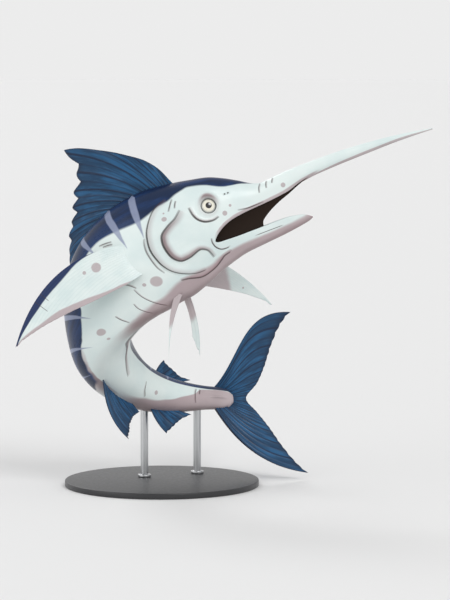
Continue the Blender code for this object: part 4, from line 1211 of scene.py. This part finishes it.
FIRST_ANAL = (
    (0.0, 0.632, -0.008, 0.728, 0.092, 0.016), (0.2, 0.645, -0.008, 0.728, 0.07, 0.01),
    (0.4, 0.661, -0.008, 0.73, 0.05, 0.005), (0.65, 0.685, -0.008, 0.737, 0.03, 0.0),
    (1.0, 0.722, -0.008, 0.75, 0.015, 0.0),
)
SECOND_ANAL = (
    (0.0, 0.776, -0.006, 0.81, 0.056, 0.004), (0.3, 0.789, -0.006, 0.826, 0.038, 0.002),
    (0.7, 0.81, -0.006, 0.846, 0.02, 0.0), (1.0, 0.83, -0.006, 0.868, 0.012, 0.0),
)

fin = Fin(FIRST_DORSAL, 39, 40, 0.0075, 0.0014, 0.075, even_to=0.205, rays_a_point=2)
fin_piece("first_dorsal_fin", fin, *on_body(fin, True), dark_fin, "dark_fin",
          *(f"dorsal_fin_first_{number}" for number in (1, 2, 3, 4)))
fin = Fin(SECOND_DORSAL, 7, 20, 0.006, 0.0014, 0.03)
fin_piece("second_dorsal_fin", fin, *on_body(fin, True), dark_fin, "dark_fin", "dorsal_fin_second")
fin = Fin(FIRST_ANAL, 13, 30, 0.0075, 0.0014, 0.014)
fin_piece("first_anal_fin", fin, *on_body(fin, False), dark_fin, "dark_fin", "anal_fin_first")
fin = Fin(SECOND_ANAL, 7, 20, 0.006, 0.0014, 0.03)
fin_piece("second_anal_fin", fin, *on_body(fin, False), dark_fin, "dark_fin", "anal_fin_second")

# The crescent tail: rays fan from the stock's end to the two lobes.
# u, start behind and above the stock's end, tip behind and above it, bow
TAIL_LOBE = (
    (0.0, -0.046, 0.018, 0.162, 0.195, 0.038), (0.1, -0.04, 0.017, 0.136, 0.168, 0.03),
    (0.25, -0.032, 0.015, 0.108, 0.124, 0.017), (0.45, -0.024, 0.012, 0.085, 0.078, 0.006),
    (0.7, -0.016, 0.008, 0.06, 0.036, 0.0), (1.0, -0.012, 0.0, 0.034, 0.0, 0.0),
)
UPPER_LOBE = 1.13
LOWER_LOBE = 0.9
upper = [(u / 2, a, b, UPPER_LOBE * end_a, UPPER_LOBE * end_b, bow)
         for u, a, b, end_a, end_b, bow in TAIL_LOBE]
lower = [(1 - u / 2, a, -b, LOWER_LOBE * end_a, -LOWER_LOBE * end_b, -bow)
         for u, a, b, end_a, end_b, bow in TAIL_LOBE[:-1]]
upper[-1] = (0.5, *TAIL_LOBE[-1][1:])
tail_skew = smooth(((0, 1.9), (0.5, 1.4), (1, 1.05)))
fin = Fin(upper + lower[::-1], 31, 44, 0.024, 0.0018, 0.009, tail_skew)
rear, up = (along_body(field, BODY_END) for field in (REAR, UP))
fin_piece("crescent_tail", fin, *held_out(fin, carried((BODY_END, 0, 0)), rear, up), dark_fin,
          "dark_fin", "tail_fin")


def pale_fin_paint(name, front_band=0.0, rear_band=(), rear_edge=(), spots=(), creases=(),
                   root_mauve=(-1.0, -1.0)):
    """Pale like the flank, with a dark front edge, a band of mauve painted shade along the rear edge and at
    the root, dark crease lines of painted shade, and old marks, laid out in metres along and across the
    flat fin. root_mauve is how far the mauve painted shade reaches out from the root, on the near face and
    on the far one."""
    finish = Finish(name)
    ray, v, u = finish.attribute("fin")
    along, across, far_face = finish.attribute("flat")
    off_ray = abs(ray - ray.maths("ROUND")) * 2
    fine = finish.noise(finish.vector(along * 20.0, across * 90.0, 0.0), 1.0, 3.0, 0.6)
    cloud = finish.noise(finish.vector(along * 9.0, across * 14.0, 1.0), 1.0, 3.0, 0.55)
    colour = finish.mixed(cloud.rises(0.35, 0.7), *PALE_TONES)
    colour = finish.mixed(off_ray.rises(0.5, 0.0) * v.rises(0.1, 0.45) * 0.25, colour, (0.5, 0.6, 0.61))
    # Mauve painted shade at the root, reaching further on one face than the other
    from_root = along + across * 0.7 + (cloud - 0.5) * 0.03 - far_face * (root_mauve[1] - root_mauve[0])
    mauve = from_root.rises(root_mauve[0] + 0.02, root_mauve[0] - 0.02) * 0.85
    if rear_band:
        from_rear = across - finish.curve(along, rear_edge) + (cloud - 0.5) * 0.006
        mauve = mauve.most((from_rear - finish.curve(along, rear_band)).rises(0.004, -0.004) * 0.9)
    colour = finish.mixed(mauve, colour, SHADE_MAUVE)
    for spot_along, spot_across, reach in spots:
        away = ((along - spot_along) ** 2 + (across - spot_across) ** 2) ** 0.5 + (cloud - 0.5) * 0.008
        colour = finish.mixed(away.rises(reach * 1.1, reach * 0.85) * 0.85, colour, OLD_MARK)
    if front_band:
        wide = v.rises(0.22, 0.6) * front_band * (1 - v.rises(0.8, 1.0) * 0.6)
        dark = (u + (cloud - 0.5) * 0.03 - wide).rises(0.015, -0.01) * v.rises(0.2, 0.26)
        colour = finish.mixed(dark, colour, (0.012, 0.028, 0.095))
    height = off_ray.rises(0.6, 0.0) * v.rises(0.05, 0.4) + fine * 0.5
    # Crease lines: painted dark shade, with a groove in the bump along each
    for crease_along, slant, low, high in creases:
        off_line = abs(along - crease_along - (across - high) * slant)
        line = off_line.rises(0.0022, 0.0008) * across.rises(low, low + 0.012)
        colour = finish.mixed(line * 0.85, colour, (0.045, 0.032, 0.032))
        height = height - off_line.rises(0.005, 0.0) * across.rises(low, low + 0.012) * 2
    return finish.surface(Base_Color=colour, Roughness=0.34 + fine * 0.14, IOR=1.32, Coat_Weight=0.22,
                          Coat_Roughness=0.16, Normal=finish.bump(height, 0.0006, 0.35))


# The pectoral fins: long pale sickles behind the gill covers. The right one sweeps back along
# the flank, and the left one is held forward and down.
# u, start along the fin, start across it, tip along, tip across, bow towards the front edge
PECTORAL = (
    (0.0, -0.022, 0.026, 0.3, -0.011, 0.054), (0.06, -0.022, 0.024, 0.296, -0.012, 0.049),
    (0.15, -0.022, 0.02, 0.28, -0.008, 0.04), (0.35, -0.022, 0.01, 0.236, -0.009, 0.025),
    (0.6, -0.022, -0.006, 0.168, -0.017, 0.011), (0.82, -0.022, -0.022, 0.104, -0.028, 0.003),
    (1.0, -0.022, -0.034, 0.04, -0.036, 0.0),
)
rear, up, right = (along_body(field, PECTORAL_STATION) for field in (REAR, UP, RIGHT))
out = skin_side(PECTORAL_STATION, PECTORAL_HEIGHT)
REAR_BAND = (
    (0.05, 0.0), (0.1, 0.01), (0.19, 0.017), (0.32, 0.028), (0.45, 0.032), (0.57, 0.018), (0.66, 0.012),
    (0.74, 0.006),
)
REAR_EDGE = sorted((FORK_LENGTH * row[3], FORK_LENGTH * row[4]) for row in PECTORAL[1:])
right_pectoral = pale_fin_paint(
    "right_pectoral_skin", 0.14, REAR_BAND, REAR_EDGE, ((0.176, 0.0666, 0.024), (0.239, 0.0787, 0.009)),
    ((0.48, 0.31, 0.062, 0.115), (0.525, 0.36, 0.022, 0.1)))
left_pectoral = pale_fin_paint(
    "left_pectoral_skin", spots=((0.53, 0.003, 0.006),), root_mauve=(0.445, 0.07))
fin = Fin(PECTORAL, 19, 48, 0.018, 0.0016, 0.004, membrane=0.8)
lean = smooth(((-0.05, -52), (0.0, -46), (0.05, -22), (0.12, -14), (0.45, -10)))
root = carried((PECTORAL_STATION, out, PECTORAL_HEIGHT))
fin_piece("right_pectoral_fin", fin, *held_out(fin, root, rear - 0.03 * up, up, lean), right_pectoral,
          "pale_fin", "pectoral_fin_right")
fin = Fin([(*row[:5], 0.5 * row[5]) for row in PECTORAL], 19, 48, 0.018, 0.0016, 0.004, membrane=0.8)
root = carried((PECTORAL_STATION, -out, PECTORAL_HEIGHT))
span = -0.27 * rear - 0.6 * up - 0.75 * right
fin_piece("left_pectoral_fin", fin, *held_out(fin, root, span, -rear - 0.85 * right), left_pectoral,
          "pale_fin", "pectoral_fin_left")

# The pelvic fins: two threads of a few rays under the breast
PELVIC_STATION = 0.325
PELVIC = (
    (0.0, -0.014, 0.0075, 0.128, -0.0015, 0.008), (0.5, -0.014, 0.0, 0.112, -0.0035, 0.0065),
    (1.0, -0.014, -0.0075, 0.084, -0.0065, 0.005),
)
pelvic_skin = pale_fin_paint("pelvic_skin", root_mauve=(0.12, 0.12))
rear, up, right = (along_body(field, PELVIC_STATION) for field in (REAR, UP, RIGHT))
for side, word, sweep, splay in ((1, "right", 0.62, 0.05), (-1, "left", 0.3, 0.25)):
    fin = Fin([(*row[:5], -side * row[5]) for row in PELVIC], 3, 40, 0.009, 0.0016, 0.03)
    root = carried((PELVIC_STATION, side * 0.032, belly(PELVIC_STATION) + 0.004))
    span = -0.8 * up + sweep * rear + side * splay * right
    fin_piece(word + "_pelvic_fin", fin, *held_out(fin, root, span, -rear), pelvic_skin, "pale_fin",
              "pelvic_fin_" + word)


# The display stand: a round timber base painted satin black, with eased edges, and two brushed
# steel rods that run from sockets in the base up into the body.
BASE_RADIUS = 0.5
BASE_THICKNESS = 0.03
ROD_RADIUS = 0.02
ROD_STATIONS = {"stand_rod_front": 0.762, "stand_rod_rear": 0.888}
COLLAR_RADIUS = 0.034
COLLAR_HEIGHT = 0.014
COLLAR_GAP = 0.0003


def turned(name, profile, centre, steps, finish):
    """A closed piece turned about an upright axis. The profile runs outside, from foot to top."""
    angles = np.arange(steps) * 2 * math.pi / steps
    rings = [np.stack([centre[0] + radius * np.cos(angles), centre[1] + radius * np.sin(angles),
                       np.full(steps, height)], -1) for radius, height in profile]
    faces = []
    for row in range(len(rings) - 1):
        for i in range(steps):
            a, b = row * steps + i, row * steps + (i + 1) % steps
            faces.append((a, b, b + steps, a + steps))
    count = len(rings) * steps
    faces += [((i + 1) % steps, i, count) for i in range(steps)]
    faces += [(count - steps + i, count - steps + (i + 1) % steps, count + 1) for i in range(steps)]
    hubs = [(*centre, profile[0][1]), (*centre, profile[-1][1])]
    piece = mesh_piece(name, np.concatenate([*rings, hubs]), faces, finish)
    piece.data.set_sharp_from_angle(angle=math.radians(35))
    return piece


def rounded(radius, low, high, ease, steps=5):
    """The outline of a disc's edge, with its two corners eased."""
    turn = np.linspace(0, math.pi / 2, steps)
    foot = [(radius - ease + ease * math.sin(t), low + ease - ease * math.cos(t)) for t in turn]
    top = [(radius - ease + ease * math.cos(t), high - ease + ease * math.sin(t)) for t in turn]
    return foot + top


def drawn_out(finish, place, stretch, scale, detail):
    """Noise that is long along each axis where the stretch is small."""
    place = finish.node("ShaderNodeMapping", Vector=place, Scale=stretch).outputs[0]
    return finish.noise(place, scale, detail, 0.6)


paint = Finish("satin_black")
place = paint.node("ShaderNodeTexCoord").outputs["Object"]
grain = drawn_out(paint, place, (1.0, 9.0, 4.0), 22.0, 4.0)
dust = paint.noise(place, 60.0, 2.0, 0.5)
base_finish = paint.surface(
    Base_Color=paint.mixed(grain, (0.018, 0.018, 0.02), (0.03, 0.03, 0.033)),
    Roughness=0.3 + dust * 0.14, Normal=paint.bump(grain, 0.0004, 0.4))
base_edge = rounded(BASE_RADIUS, 0.0, BASE_THICKNESS, 0.005)
base = turned("stand_timber_base", base_edge, (0.0, 0.0), 128, base_finish)
fitted(base, "stand_paint", "stand_base")

steel = Finish("brushed_steel")
place = steel.node("ShaderNodeTexCoord").outputs["Object"]
brushed = drawn_out(steel, place, (1.0, 1.0, 0.02), 900.0, 2.0)
rod_finish = steel.surface(
    Base_Color=steel.mixed(brushed, (0.46, 0.47, 0.48), (0.62, 0.63, 0.64)), Metallic=1.0,
    Roughness=0.24 + brushed * 0.16, Normal=steel.bump(brushed, 0.0002, 0.3))
collar_top = BASE_THICKNESS + COLLAR_HEIGHT
collar = rounded(COLLAR_RADIUS, BASE_THICKNESS + COLLAR_GAP, collar_top, 0.003)
for name, station in ROD_STATIONS.items():
    x, y, _ = carried((station, 0, 0))
    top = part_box(name)[1][2]
    outline = [*collar, (ROD_RADIUS + 0.002, collar_top), (ROD_RADIUS, collar_top + 0.002),
               (ROD_RADIUS, top), (ROD_RADIUS, top + 0.012)]
    rod = turned(name.replace("stand_rod", "stand_steel_rod"), outline, (x, y), 48, rod_finish)
    fitted(rod, "rod_steel", name)
